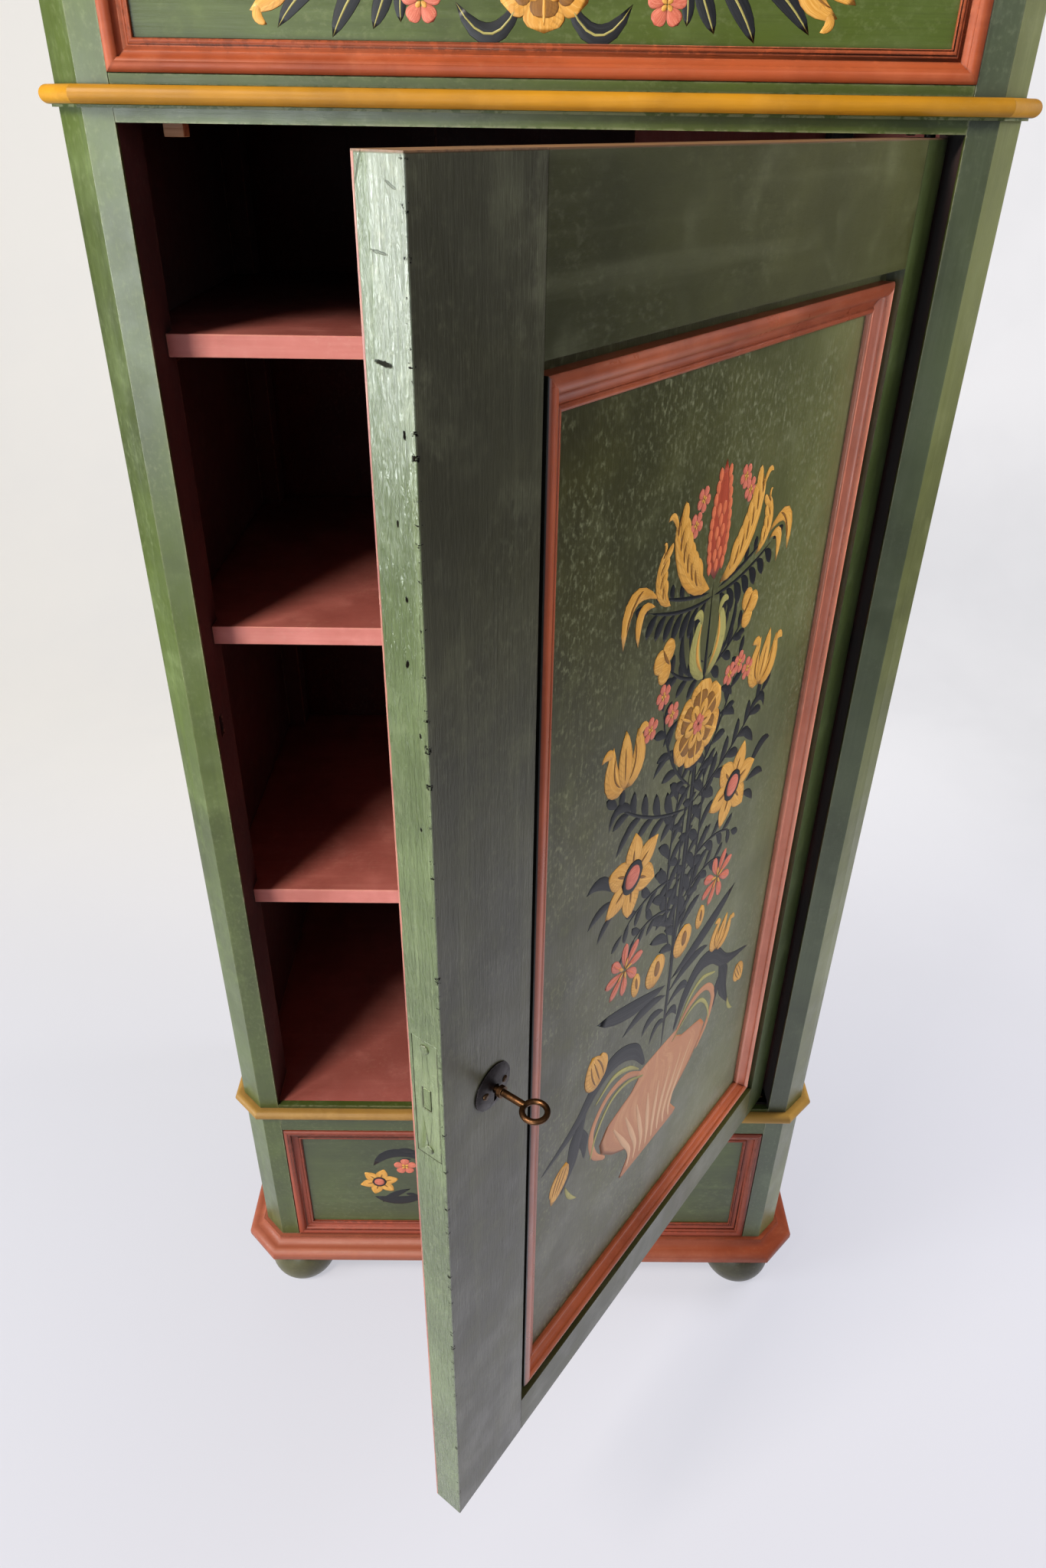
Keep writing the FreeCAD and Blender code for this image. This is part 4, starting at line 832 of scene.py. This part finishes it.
def tulip(size):
    left = [stroke((-0.02, 0), (-0.56, 0.2), (-0.33, 0.95), 0.42, 0.9, 0.7, 1),
            stroke((-0.36, 0.72), (-0.42, 1.0), (-0.66, 0.82), 0.18, 1.0, 0.7, 1)]
    right = moved(left, mirror=True)
    stripes = [stroke((x * 0.5, 0.1), (x * 1.6, 0.3), (x * 1.15, 0.76), 0.045, 1.0, 0.6, 3)
               for x in (-0.24, 0.24)]
    stripes.append(stroke((0, 0.14), (0.01, 0.4), (0, 0.8), 0.045, 1.0, 0.6, 3))
    middle = stroke((0, -0.02), (0, 0.4), (0, 1.08), 0.4, 1.0, 0.75, 2)
    return {"yellow": moved(np.vstack([left, right, [middle]]), scale=size),
            "brown": moved(stripes, scale=size)}


def roundBud(width, height):
    return {"yellow": [stroke((0, -height / 2), (0, 0), (0, height / 2), width, 1.0, 0.55, 1)],
            "brown": [stroke((width * 0.1, -height * 0.22), (width * 0.1, 0), (width * 0.06, height * 0.3),
                             width * 0.3, 1.0, 0.6, 2)]}


def leafBud(width, height):
    body = stroke((0, 0), (-width * 0.1, height / 2), (0, height), width, 0.85, 0.75, 1)
    lobe = stroke((width * 0.1, height * 0.05), (width * 0.55, height * 0.4), (width * 0.3, height * 0.8),
                  width * 0.3, 1.0, 0.7, 1)
    veins = [stroke((width * x, height * 0.12), (width * 1.6 * x, height * 0.45),
                    (width * x * 0.7, height * 0.8), width * 0.07, 1.0, 0.6, 2)
             for x in (-0.16, 0.02, 0.2)]
    return {"yellow": [body, lobe], "brown": veins}


# A feathered leaf: its broad blade, teeth along the outer side, a curl at the tip and dark hatching.
def curlLeaf(base, pull, tip, width, teeth=5, hook=8.0):
    a, b, c = (np.array(point, float) for point in (base, pull, tip))
    t = np.linspace(0.26, 0.88, teeth)[:, None]
    foot = (1 - t) ** 2 * a + 2 * t * (1 - t) * b + t ** 2 * c
    way = (1 - t) * (b - a) + t * (c - b)
    way /= np.linalg.norm(way, axis=1)[:, None]
    out = np.stack([-way[:, 1], way[:, 0]], 1) * np.sign(c[0] - a[0] if c[0] != a[0] else 1.0) * -1.0
    end = foot + way * width * 0.8 - out * width * 0.6
    rows = np.hstack([foot - way * width * 0.3, foot + way * width * 0.35 - out * width * 0.55, end,
                      np.tile([width * 0.46, 1.2, 0.7, 2], (teeth, 1))])
    tail = (c - b) / np.linalg.norm(c - b)
    curl = stroke(c - tail * hook, c + tail * hook * 0.8, c + tail * hook * 0.4 + out[-1] * hook * 0.9,
                  width * 0.24, 0.9, 0.6, 1)
    lines = np.hstack([foot + out * width * 0.05, foot + way * width * 0.25,
                       foot + way * width * 0.6 - out * width * 0.36,
                       np.tile([width * 0.1, 1.0, 0.6, 3], (teeth, 1))])
    blade = stroke(base, pull, tip, width, 1.1, 0.7, 1)
    return {"yellow": np.vstack([[blade], rows, [curl]]), "brown": lines}


# A tall bud of overlapping scales between its foot and its point.
def spikeBud(base, tip, width):
    a, c = np.array(base, float), np.array(tip, float)
    way = (c - a) / np.linalg.norm(c - a)
    side = np.array([way[1], -way[0]])
    rows = []
    for step in range(9):
        share = 0.06 + 0.095 * step
        half = width * 0.4 * math.sin(math.pi * (0.1 + 0.86 * share) ** 0.75) ** 0.9
        for place in np.linspace(-1, 1, (4 if step % 2 else 3) if step < 6 else 2):
            foot = a + (c - a) * share + side * place * half
            end = foot + way * width * 0.36 + side * place * width * 0.03
            rows.append(stroke(foot, (foot + end) / 2, end, width * 0.2, 1.2, 0.6, 2))
    return {"red": [stroke(a, (a + c) / 2, c, width, 0.72, 0.85, 1)], "coral": rows}


# A motif with its middle at a place and turned by degrees.
def placed(motif, place, turn=0.0):
    return {colour: moved(rows, place, turn) for colour, rows in motif.items()}


def addMotifs(picture, motifs, mirror=False):
    for motif in motifs:
        for colour, rows in motif.items():
            picture.setdefault(colour, []).append(moved(rows, mirror=mirror))


def leaves(*rows):
    return {"dark": [stroke(*row) for row in rows]}


def sprays(*rows):
    return {"dark": np.vstack([spray(*row) for row in rows])}


# The door's bouquet, in millimetres from the middle of the bouquet and from the door opening's floor:
# one half of what stands on both sides of the stem, then the single flowers.
def bouquetHalf():
    return [
        curlLeaf((7, 755), (44, 766), (62, 818), 21, 6, 11),
        curlLeaf((60, 760), (84, 774), (72, 802), 13, 4, 5),
        {"yellow": [stroke((76, 770), (118, 798), (116, 748), 12, 1.2, 0.7, 1),
                    stroke((80, 766), (104, 778), (98, 744), 9, 1.2, 0.7, 2)],
         "brown": [stroke((96, 782), (103, 780), (107, 774), 2, 1.0, 0.7, 3),
                   stroke((102, 778), (108, 775), (111, 767), 2, 1.0, 0.7, 3),
                   stroke((107, 772), (112, 768), (113, 759), 2, 1.0, 0.7, 3)]},
        {"olive": [stroke((0, 684), (30, 704), (13, 738), 16, 1.0, 0.7, 1),
                   stroke((12, 728), (14, 746), (26, 737), 7, 1.0, 0.7, 1)],
         "yellow": [stroke((3, 690), (22, 706), (12, 732), 4, 1.0, 0.7, 2),
                    disc(57, 727, 9), disc(67, 722, 9), disc(60, 712, 9)],
         "brown": [stroke((54, 716), (60, 722), (64, 730), 3, 1.0, 0.7, 3)]},
        sprays(((0, 748), (38, 744), (88, 764), 8, 27, 11, 66, -1),
               ((6, 752), (40, 756), (70, 768), 5, 16, 8, 60, 1),
               ((0, 688), (30, 690), (54, 712), 7, 22, 9)),
        leaves(((2, 698), (34, 712), (25, 746), 6), ((22, 694), (44, 712), (37, 738), 7),
               ((42, 698), (54, 704), (60, 700), 7), ((30, 664), (44, 660), (52, 650), 8),
               ((34, 640), (52, 640), (62, 628), 8)),
        sprays(((0, 572), (60, 586), (108, 628), 11, 32, 11, 44),
               ((0, 592), (42, 622), (56, 680), 9, 27, 10, 44)),
        leaves(((84, 612), (112, 640), (118, 612), 9), ((78, 606), (96, 598), (106, 584), 9)),
        sprays(((2, 420), (36, 500), (16, 616), 15, 40, 11, 40),
               ((-4, 400), (12, 500), (4, 620), 13, 30, 9, 52),
               ((2, 505), (50, 528), (88, 502), 8, 27, 10),
               ((2, 470), (42, 500), (76, 480), 8, 25, 9)),
        leaves(((104, 552), (122, 582), (142, 572), 11), ((104, 544), (124, 550), (138, 538), 9),
               ((100, 534), (116, 530), (124, 516), 8), ((4, 388), (56, 396), (116, 428), 17, 1.2, 0.6),
               ((2, 374), (40, 392), (74, 380), 12), ((2, 356), (30, 374), (40, 352), 11),
               ((-2, 340), (16, 356), (24, 330), 9)),
    ]


def bouquetFlowers():
    blossoms = ((-29, 822, 9), (-36, 807, 9), (29, 824, 9), (38, 813, 9), (-58, 693, 10), (-72, 673, 10),
                (-43, 673, 10), (43, 671, 10), (58, 675, 10), (74, 664, 10))
    return [
        placed(rosette(37), (-1, 647)),
        *(placed(blossom(size), (x, z), x) for x, z, size in blossoms),
        placed(tulip(44), (-101, 640), 4),
        placed(tulip(44), (99, 640), -12),
        placed(leafBud(32, 46), (-104, 352), 20),
        placed(tulip(36), (92, 362), -24),
        placed(starFlower(40), (-80, 552)),
        placed(starFlower(40, -20), (77, 554)),
        placed(carnation(28), (-80, 460)),
        placed(carnation(28), (72, 460), 20),
        placed(roundBud(14, 29), (-59, 428), 8),
        placed(roundBud(32, 36), (-27, 420)),
        placed(roundBud(32, 36), (18, 423)),
        placed(roundBud(16, 28), (48, 430)),
        placed(leafBud(24, 42), (-150, 300), 152),
        placed(leafBud(20, 36), (150, 300), -150),
        {"olive": [stroke((-150, 268), (-146, 246), (-130, 232), 5),
                   stroke((140, 266), (142, 246), (158, 236), 5)]},
    ]


def doorPicture():
    picture = {}
    addMotifs(picture, [leaves(((0, 300), (6, 520), (-2, 762), 6, 0.6, 0.3)),
                        spikeBud((-2, 760), (-2, 842), 30)])
    for mirror in (True, False):
        addMotifs(picture, bouquetHalf(), mirror)
    addMotifs(picture, bouquetFlowers())
    return picture


# Longer painted forms: a line through points, with its half width along it, in millimetres.
doorScrolls = {
    "dark": [([(-28, 310), (-50, 344), (-82, 360), (-112, 352), (-138, 332), (-186, 316)],
              (2, 8, 10, 9, 7, 1)),
             ([(-122, 344), (-136, 314), (-142, 288), (-156, 262)], (2, 10, 8, 1)),
             ([(-134, 326), (-124, 300), (-122, 276)], (2, 7, 1)),
             ([(22, 310), (38, 344), (62, 362), (92, 354), (122, 328), (172, 312)], (2, 8, 10, 9, 7, 1)),
             ([(106, 340), (119, 312), (124, 288), (142, 256)], (2, 10, 8, 1)),
             ([(118, 326), (108, 300), (106, 276)], (2, 7, 1))],
    "olive": [([(-38, 312), (-58, 330), (-84, 340), (-110, 330)], (1, 2.6, 3, 1)),
              ([(-28, 296), (-58, 312), (-84, 312), (-104, 290), (-112, 262)], (1, 2, 2.4, 2, 1)),
              ([(32, 312), (48, 332), (70, 340), (100, 328)], (1, 2.6, 3, 1)),
              ([(22, 296), (50, 312), (74, 310), (92, 288), (100, 262)], (1, 2, 2.4, 2, 1))],
    "urn": [([(-4, z) for z in (177, 182, 199, 213, 232, 252, 268, 281, 290, 299, 308)],
             (48, 53, 40, 42, 70, 90, 94, 84, 46, 34, 40)),
            ([(-34, 304), (-62, 322), (-92, 322), (-112, 298), (-106, 264), (-86, 240)],
             (2, 4, 4, 4, 4, 2)),
            ([(27, 304), (54, 322), (84, 320), (102, 296), (96, 264), (78, 240)], (2, 4, 4, 4, 4, 2))],
    "sand": [([(-4 + 84 * share, 262 + 8 * abs(share)), (-4 + 60 * share, 232), (-4 + 44 * share, 205),
               (-4 + 46 * share, 184)], (1, 3.4, 3, 1))
             for share in (-0.86, -0.62, -0.38, -0.14, 0.1, 0.34, 0.58, 0.82)],
}


def veined(start, pull, end, width):
    return {"dark": [stroke(start, pull, end, width, 1.1, 0.7)],
            "olive": [stroke(start, pull, end, width * 0.12, 1.0, 0.5, 1)]}


# One half of the frieze's garland and of the drawer's, in millimetres from the middle and the floor.
def friezeHalf():
    veinedLeaves = (((12, 1442), (34, 1392), (60, 1432), 13), ((16, 1464), (38, 1496), (62, 1468), 11),
                    ((94, 1448), (98, 1434), (97, 1420), 9), ((100, 1450), (108, 1434), (116, 1416), 12),
                    ((112, 1452), (132, 1436), (144, 1411), 13), ((130, 1454), (160, 1444), (181, 1416), 13),
                    ((66, 1452), (76, 1462), (88, 1458), 9))
    return [
        *(veined(*leaf) for leaf in veinedLeaves),
        placed(blossom(14), (83, 1432)),
        placed(blossom(12), (62, 1494)),
        sprays(((30, 1456), (100, 1474), (176, 1458), 9, 30, 11, 50, 1)),
        placed(tulip(38), (176, 1456), -124),
        sprays(((10, 1476), (60, 1524), (150, 1514), 9, 28, 10)),
        placed(starFlower(26, 12), (112, 1508)),
        placed(tulip(32), (156, 1514), -60),
        sprays(((180, 1470), (214, 1478), (244, 1462), 7, 24, 9)),
        placed(leafBud(16, 28), (240, 1462), -100),
        placed(leafBud(14, 24), (222, 1484), -40),
    ]


def friezePicture():
    picture = {}
    addMotifs(picture, [placed(rosette(34), (0, 1449))])
    for mirror in (True, False):
        addMotifs(picture, friezeHalf(), mirror)
    addMotifs(picture, [placed(tulip(46), (0, 1498))])
    return picture


def drawerHalf():
    arcs = (((126, 232), (168, 268), (192, 222), 16), ((122, 166), (160, 142), (194, 160), 16),
            ((146, 176), (172, 164), (184, 148), 11), ((132, 246), (150, 258), (164, 248), 9))
    return [
        leaves(*((*arc, 1.1, 0.7) for arc in arcs)),
        sprays(((24, 198), (80, 250), (142, 236), 9, 26, 9), ((24, 186), (80, 148), (136, 162), 8, 26, 9)),
        placed(starFlower(26, 16), (186, 190)),
        placed(blossom(15), (151, 221)),
        placed(blossom(13), (98, 208)),
        placed(tulip(32), (54, 216), -40),
        placed(leafBud(14, 24), (112, 176), -70),
    ]


def drawerPicture():
    picture = {}
    for mirror in (True, False):
        addMotifs(picture, drawerHalf(), mirror)
    return picture


# A line through points, eased by cubic pieces that pass through every point.
def smoothLine(points, count):
    points = np.array(points, float)
    ends = np.vstack([2 * points[0] - points[1], points, 2 * points[-1] - points[-2]])
    at = np.linspace(0, len(points) - 1 - 1e-9, count)
    part = at.astype(int)
    t = (at - part)[:, None]
    p0, p1, p2, p3 = (ends[part + step] for step in range(4))
    return 0.5 * (2 * p1 + (p2 - p0) * t + (2 * p0 - 5 * p1 + 4 * p2 - p3) * t ** 2
                  + (3 * p1 - p0 - 3 * p2 + p3) * t ** 3)


# How a stroke stands on its board, in millimetres, and its section as shares of half width and of rise.
paintFilm = {"rise": 0.12, "layerStep": 0.07, "across": (1, 0.93, 0, -0.93, -1, -0.93, 0, 0.93),
             "up": (0, 0.85, 1, 0.85, 0, -0.85, -1, -0.85)}
numberStep = 0.618     # from one stroke's number to the next, so that neighbours differ
scrollSteps = 8        # of a scroll's line, for each of its points


# Strokes become closed flat bodies: rings of the section carried along each line, closed to a point
# at both ends, half sunk in the board. onBoard turns (x, y, lift) into the row frame.
def strokeMesh(lines, halfWidths, layers, onBoard):
    thick, layerStep = paintFilm["rise"], paintFilm["layerStep"]
    across, rise = np.array(paintFilm["across"], float), np.array(paintFilm["up"], float)
    sides = len(across)
    count, steps = halfWidths.shape
    way = np.gradient(lines, axis=1)
    way /= np.linalg.norm(way, axis=2)[..., None] + 1e-12
    side = np.stack([way[..., 1], -way[..., 0]], 2)
    inner = slice(1, steps - 1)
    rings = lines[:, inner, None, :] + side[:, inner, None, :] * (halfWidths[:, inner, None, None]
                                                                 * across[None, None, :, None])
    body = np.sqrt(np.clip(halfWidths[:, inner] / halfWidths.max(1)[:, None], 0, 1))
    lift = layers[:, None, None] * layerStep + thick * rise[None, None, :] * body[..., None]
    points = np.concatenate([rings, lift[..., None]], 3).reshape(count, -1, 3)
    tips = np.concatenate([lines[:, [0, -1]], np.repeat(layers[:, None, None] * layerStep, 2, 1)], 2)
    points = np.concatenate([points, tips], 1)
    rows = steps - 2
    ring, turn = np.meshgrid(np.arange(rows - 1), np.arange(sides), indexing="ij")
    after = (turn + 1) % sides
    quads = np.stack([ring * sides + turn, ring * sides + after, (ring + 1) * sides + after,
                      (ring + 1) * sides + turn], 2).reshape(-1, 4)
    around = np.arange(sides)
    nextOne = (around + 1) % sides
    first = np.stack([np.full(sides, rows * sides), nextOne, around], 1)
    last = np.stack([np.full(sides, rows * sides + 1), (rows - 1) * sides + around,
                     (rows - 1) * sides + nextOne], 1)
    perStroke = rows * sides + 2
    offset = (np.arange(count) * perStroke)[:, None, None]
    quads, caps = quads + offset, np.concatenate([first, last]) + offset
    along = np.repeat(np.arange(1, steps - 1) / (steps - 1), sides)
    acrossMap = np.tile(0.5 + 0.5 * across, rows)
    placeMap = np.vstack([np.stack([along, acrossMap], 1), [[0.0, 0.5], [1.0, 0.5]]])
    return {"points": onBoard(points.reshape(-1, 3)), "quads": quads.reshape(-1, 4),
            "caps": caps.reshape(-1, 3), "map": np.tile(placeMap, (count, 1)),
            "number": np.repeat(np.arange(count) * numberStep % 1.0, perStroke)}


def rowLines(rows, steps=9):
    # quadratic line of each stroke, and half width = width / 2 times sine of pi t^peak, to bluntness
    t = np.linspace(0, 1, steps)[None, :, None]
    a, b, c = (rows[:, None, at:at + 2] for at in (0, 2, 4))
    lines = (1 - t) ** 2 * a + 2 * t * (1 - t) * b + t ** 2 * c
    swell = np.sin(np.pi * t[..., 0] ** rows[:, 7, None]).clip(0) ** rows[:, 8, None]
    return lines, rows[:, 6, None] / 2 * swell, rows[:, 9]


def makePiece(name, parts, material, body):
    base = np.cumsum([0] + [len(part["points"]) for part in parts])
    points = np.vstack([part["points"] for part in parts])
    quads = np.vstack([part["quads"] + start for part, start in zip(parts, base)])
    caps = np.vstack([part["caps"] + start for part, start in zip(parts, base)])
    mesh = bpy.data.meshes.new(name)
    mesh.from_pydata(points.tolist(), [], quads.tolist() + caps.tolist())
    corners = np.zeros(len(mesh.loops), np.int32)
    mesh.loops.foreach_get("vertex_index", corners)
    strokeMap = np.vstack([part["map"] for part in parts])[corners]
    mesh.uv_layers.new(name="strokeMap").data.foreach_set("uv", strokeMap.astype(np.float32).ravel())
    number = mesh.attributes.new("strokeNumber", "FLOAT", "POINT")
    number.data.foreach_set("value", np.concatenate([part["number"] for part in parts]).astype(np.float32))
    mesh.shade_smooth()
    mesh.materials.append(material)
    piece = bpy.data.objects.new(name, mesh)
    bpy.context.scene.collection.objects.link(piece)
    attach(piece, body)
    return piece


brushFilm = {"metallic": 0.0, "varnish": 0.1, "bump": 0.3, "grainStep": 0.0003, "shine": 0.35}


def strokeMaterial(name, look):
    material = bpy.data.materials.new(name)
    material.use_nodes = True
    graph = Graph(material.node_tree)
    made = graph.use(strokeGroup, **coatInputs(look))
    dressShader(graph, graph.tree.nodes["Principled BSDF"], made, **brushFilm)
    return material


brushLooks = {
    "yellow": {"Body": "#cc9238", "Light": "#e6b765", "Shade": "#96651f", "Hatch": 0.4},
    "brown": {"Body": "#80541c", "Light": "#9c6d28", "Shade": "#573612", "Hatch": 0.3},
    "pink": {"Body": "#c4644e", "Light": "#dc8c74", "Shade": "#93402f", "Hatch": 0.3},
    "red": {"Body": "#a04028", "Light": "#b85438", "Shade": "#6e2818", "Hatch": 0.2},
    "coral": {"Body": "#cc6640", "Light": "#e0845c", "Shade": "#9a4426", "Hatch": 0.1},
    "dark": {"Body": "#101216", "Light": "#1f2228", "Shade": "#0a0b0e", "Hatch": 0.1},
    "olive": {"Body": "#9a9450", "Light": "#b8b070", "Shade": "#5f5c2c", "Hatch": 0.3},
    "urn": {"Body": "#b87a50", "Light": "#cb9a72", "Shade": "#9c6240", "Hatch": 0.0},
    "sand": {"Body": "#cda078", "Light": "#dab590", "Shade": "#b98660", "Hatch": 0.0},
}
brushes = {name: strokeMaterial(name + "Brush", look) for name, look in brushLooks.items()}
scrollLayers = {"olive": 1.0, "sand": 1.0}     # the other scrolls lie on the board itself


def paintBoard(board, picture, scrolls, onBoard, body):
    for colour in {**picture, **scrolls}:
        parts = []
        if colour in picture:
            parts.append(strokeMesh(*rowLines(np.vstack(picture[colour])), onBoard))
        for points, widths in scrolls.get(colour, []):
            steps = scrollSteps * len(points)
            line = smoothLine(points, steps)[None]
            half = np.interp(np.linspace(0, 1, steps), np.linspace(0, 1, len(widths)), widths)[None]
            parts.append(strokeMesh(line, half, np.full(1, scrollLayers.get(colour, 0.0)), onBoard))
        makePiece(f"{board}_{colour}_painting", parts, brushes[colour], body)


turnDoor = Matrix.Rotation(openAngle, 3, "Z")
doorRight, doorInward = np.array(turnDoor @ Vector((1, 0, 0))), np.array(turnDoor @ Vector((0, 1, 0)))
bouquetMiddle = -0.265     # metres from the pivot line, towards the free edge


# The panel's face lies in the plane of the pivot line, turned with the door.
def onDoorPanel(points):
    x, y, lift = points.T / 1000
    spot = np.array(pivot) * [1, 1, 0] + (bouquetMiddle + x)[:, None] * doorRight
    return spot - lift[:, None] * doorInward + np.outer(y + sillTop, [0, 0, 1])


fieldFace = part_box("drawer_front")[0].y


def onFront(points):
    x, y, lift = points.T / 1000
    return np.stack([x, fieldFace - lift, y], 1)


paintBoard("door", doorPicture(), doorScrolls, onDoorPanel, "door")
paintBoard("frieze", friezePicture(), {}, onFront, "case")
paintBoard("drawer", drawerPicture(), {}, onFront, "drawer")
print("painting: door, frieze and drawer")


# Camera where a fit to the photograph puts it. Its turns are in degrees.
cameraFacts = {"place": (-0.0140, -0.8745, 1.3695), "lens": 24.18, "film": 36.0,
               "down": 32.521, "turn": 0.4906, "roll": -0.8548}


def makeCamera(facts):
    down, turn, roll = (math.radians(facts[name]) for name in ("down", "turn", "roll"))
    ahead = Vector((math.sin(turn) * math.cos(down), math.cos(turn) * math.cos(down), -math.sin(down)))
    level = Vector((math.cos(turn), -math.sin(turn), 0))
    below = ahead.cross(level)
    right = math.cos(roll) * level + math.sin(roll) * below
    lower = math.cos(roll) * below - math.sin(roll) * level
    data = bpy.data.cameras.new("view")
    data.lens, data.sensor_width = facts["lens"], facts["film"]
    camera = bpy.data.objects.new("view", data)
    spin = Matrix((right, -lower, -ahead)).transposed()
    camera.matrix_world = Matrix.Translation(facts["place"]) @ spin.to_4x4()
    bpy.context.scene.collection.objects.link(camera)
    bpy.context.scene.camera = camera


makeCamera(cameraFacts)


# Pale floor that curves up into a wall: a profile of flat, arc and upright, carried along X.
stageSize = {"front": -5.0, "back": 2.6, "bend": 0.9, "bendPoints": 16, "top": 5.0, "half": 6.0}


def makeStage(size):
    turn = np.linspace(0, np.pi / 2, size["bendPoints"])
    bendY = size["back"] - size["bend"] + size["bend"] * np.sin(turn)
    bendZ = size["bend"] * (1 - np.cos(turn))
    profile = np.vstack([[size["front"], 0], np.stack([bendY, bendZ], 1), [size["back"], size["top"]]])
    xs = np.array([-size["half"], size["half"]])
    points = np.array([(x, y, z) for x in xs for y, z in profile])
    count = len(profile)
    at = np.arange(count - 1)
    faces = np.stack([at, at + count, at + count + 1, at + 1], 1)
    mesh = bpy.data.meshes.new("floor")
    mesh.from_pydata(points.tolist(), [], faces.tolist())
    mesh.shade_smooth()
    floor = bpy.data.objects.new("floor", mesh)
    bpy.context.scene.collection.objects.link(floor)
    return floor


# The floor's own colour, and how much of it is shown evenly to the eye and to reflections; far to the
# side or to the front it darkens in reflections, as a room does beyond a pale floor.
stageLook = {"floor": "#d9d9e2", "cloud": "#d9d9de", "wallLeft": "#eeebe7", "wallRight": "#fdfcff",
             "roughness": 0.6,
             "leftToRight": (-0.8, 1.0), "floorToWall": (0.1, 1.6), "even": 0.72,
             "near": 0.5, "far": 2.6, "nearLevel": 1.12, "farLevel": 0.12}


def stageMaterial(look):
    material = bpy.data.materials.new("paleFloor")
    material.use_nodes = True
    graph = Graph(material.node_tree)
    shader = graph.tree.nodes["Principled BSDF"]
    place = graph.node("TexCoord").outputs["Object"]
    x, y, z = graph.split(place)
    wall = graph.mix(graph.spread(x, *look["leftToRight"]), tone(look["wallLeft"]), tone(look["wallRight"]))
    cloud = graph.noise(place, 1.3, 4.0)
    colour = graph.mix(graph.spread(y, *look["floorToWall"]), tone(look["floor"]), wall)
    colour = graph.mix(graph.spread(cloud, 0.35, 0.75, 0.0, 0.25), colour, tone(look["cloud"]))
    graph.feed(shader.inputs["Base Color"], colour)
    shader.inputs["Roughness"].default_value = look["roughness"]
    path = graph.node("LightPath").outputs
    mirrored = graph.larger(path["Is Glossy Ray"], path["Is Transmission Ray"])
    away = graph.vector("LENGTH", graph.join(x, graph.math("MINIMUM", y, 0.0), 0.0)).outputs["Value"]
    faded = graph.spread(away, look["near"], look["far"], look["nearLevel"], look["farLevel"])
    level = graph.blend(mirrored, 1.0, faded)
    share = graph.blend(mirrored, graph.times(path["Is Camera Ray"], look["even"]),
                        graph.spread(away, look["near"], look["far"], look["even"], 1.0))
    glow = graph.node("Emission", {"Color": colour, "Strength": level})
    output = graph.tree.nodes["Material Output"]
    both = graph.node("MixShader", {0: share, 1: shader.outputs[0], 2: glow.outputs[0]})
    graph.feed(output.inputs["Surface"], both.outputs[0])
    return material


makeStage(stageSize).data.materials.append(stageMaterial(stageLook))

# Lamps: place, target, width and height in metres, power in watts, colour, and whether they give soft
# light alone, sheen alone, or both.
lamps = {
    "window": ((-1.46, -1.60, 3.00), (0.0, 0.0, 0.9), (0.7, 0.7), 112.0, "#fff6e8", "both"),
    "frontCard": ((-0.95, -2.35, 1.05), (-0.2, 0.0, 1.1), (1.3, 0.9), 36.0, "#f4fbff", "sheen"),
    "leftCard": ((-2.30, -0.75, 1.05), (-0.2, -0.2, 1.1), (0.85, 0.85), 52.0, "#f8ffff", "both"),
    "backdropRight": ((1.45, 0.40, 1.45), (0.2, -0.2, 1.0), (0.9, 0.9), 34.0, "#fdfbff", "soft"),
    "softRight": ((2.10, -2.30, 2.30), (0.0, 0.0, 0.9), (1.8, 1.8), 12.0, "#eef2ff", "both"),
}


def makeLamp(name, place, target, size, power, colour, kind):
    data = bpy.data.lights.new(name, "AREA")
    data.shape, data.energy, data.color = "RECTANGLE", power, tone(colour)[:3]
    data.size, data.size_y = size
    lamp = bpy.data.objects.new(name, data)
    aim = (Vector(target) - Vector(place)).to_track_quat("-Z", "Y")
    lamp.matrix_world = Matrix.Translation(place) @ aim.to_matrix().to_4x4()
    lamp.visible_diffuse, lamp.visible_glossy = kind != "sheen", kind != "soft"
    bpy.context.scene.collection.objects.link(lamp)


for lampName, facts in lamps.items():
    makeLamp(lampName, *facts)

# Strength of the sky: as light on the object, and added to it for the eye and for reflections.
skyLook = {"colour": "#ebebf0", "ambient": 0.09, "seen": 0.79, "mirrored": 0.03}


def makeWorld(look):
    world = bpy.data.worlds.new("studio")
    world.use_nodes = True
    bpy.context.scene.world = world
    graph = Graph(world.node_tree)
    sky = graph.tree.nodes["Background"]
    path = graph.node("LightPath").outputs
    seen = graph.larger(path["Is Camera Ray"], path["Is Transmission Ray"])
    strength = graph.math("MULTIPLY_ADD", seen, look["seen"], look["ambient"])
    strength = graph.math("MULTIPLY_ADD", path["Is Glossy Ray"], look["mirrored"], strength)
    sky.inputs["Color"].default_value = tone(look["colour"])
    graph.feed(sky.inputs["Strength"], strength)


makeWorld(skyLook)
bpy.context.scene.view_settings.view_transform = "Standard"
print("camera, floor and lamps: made")
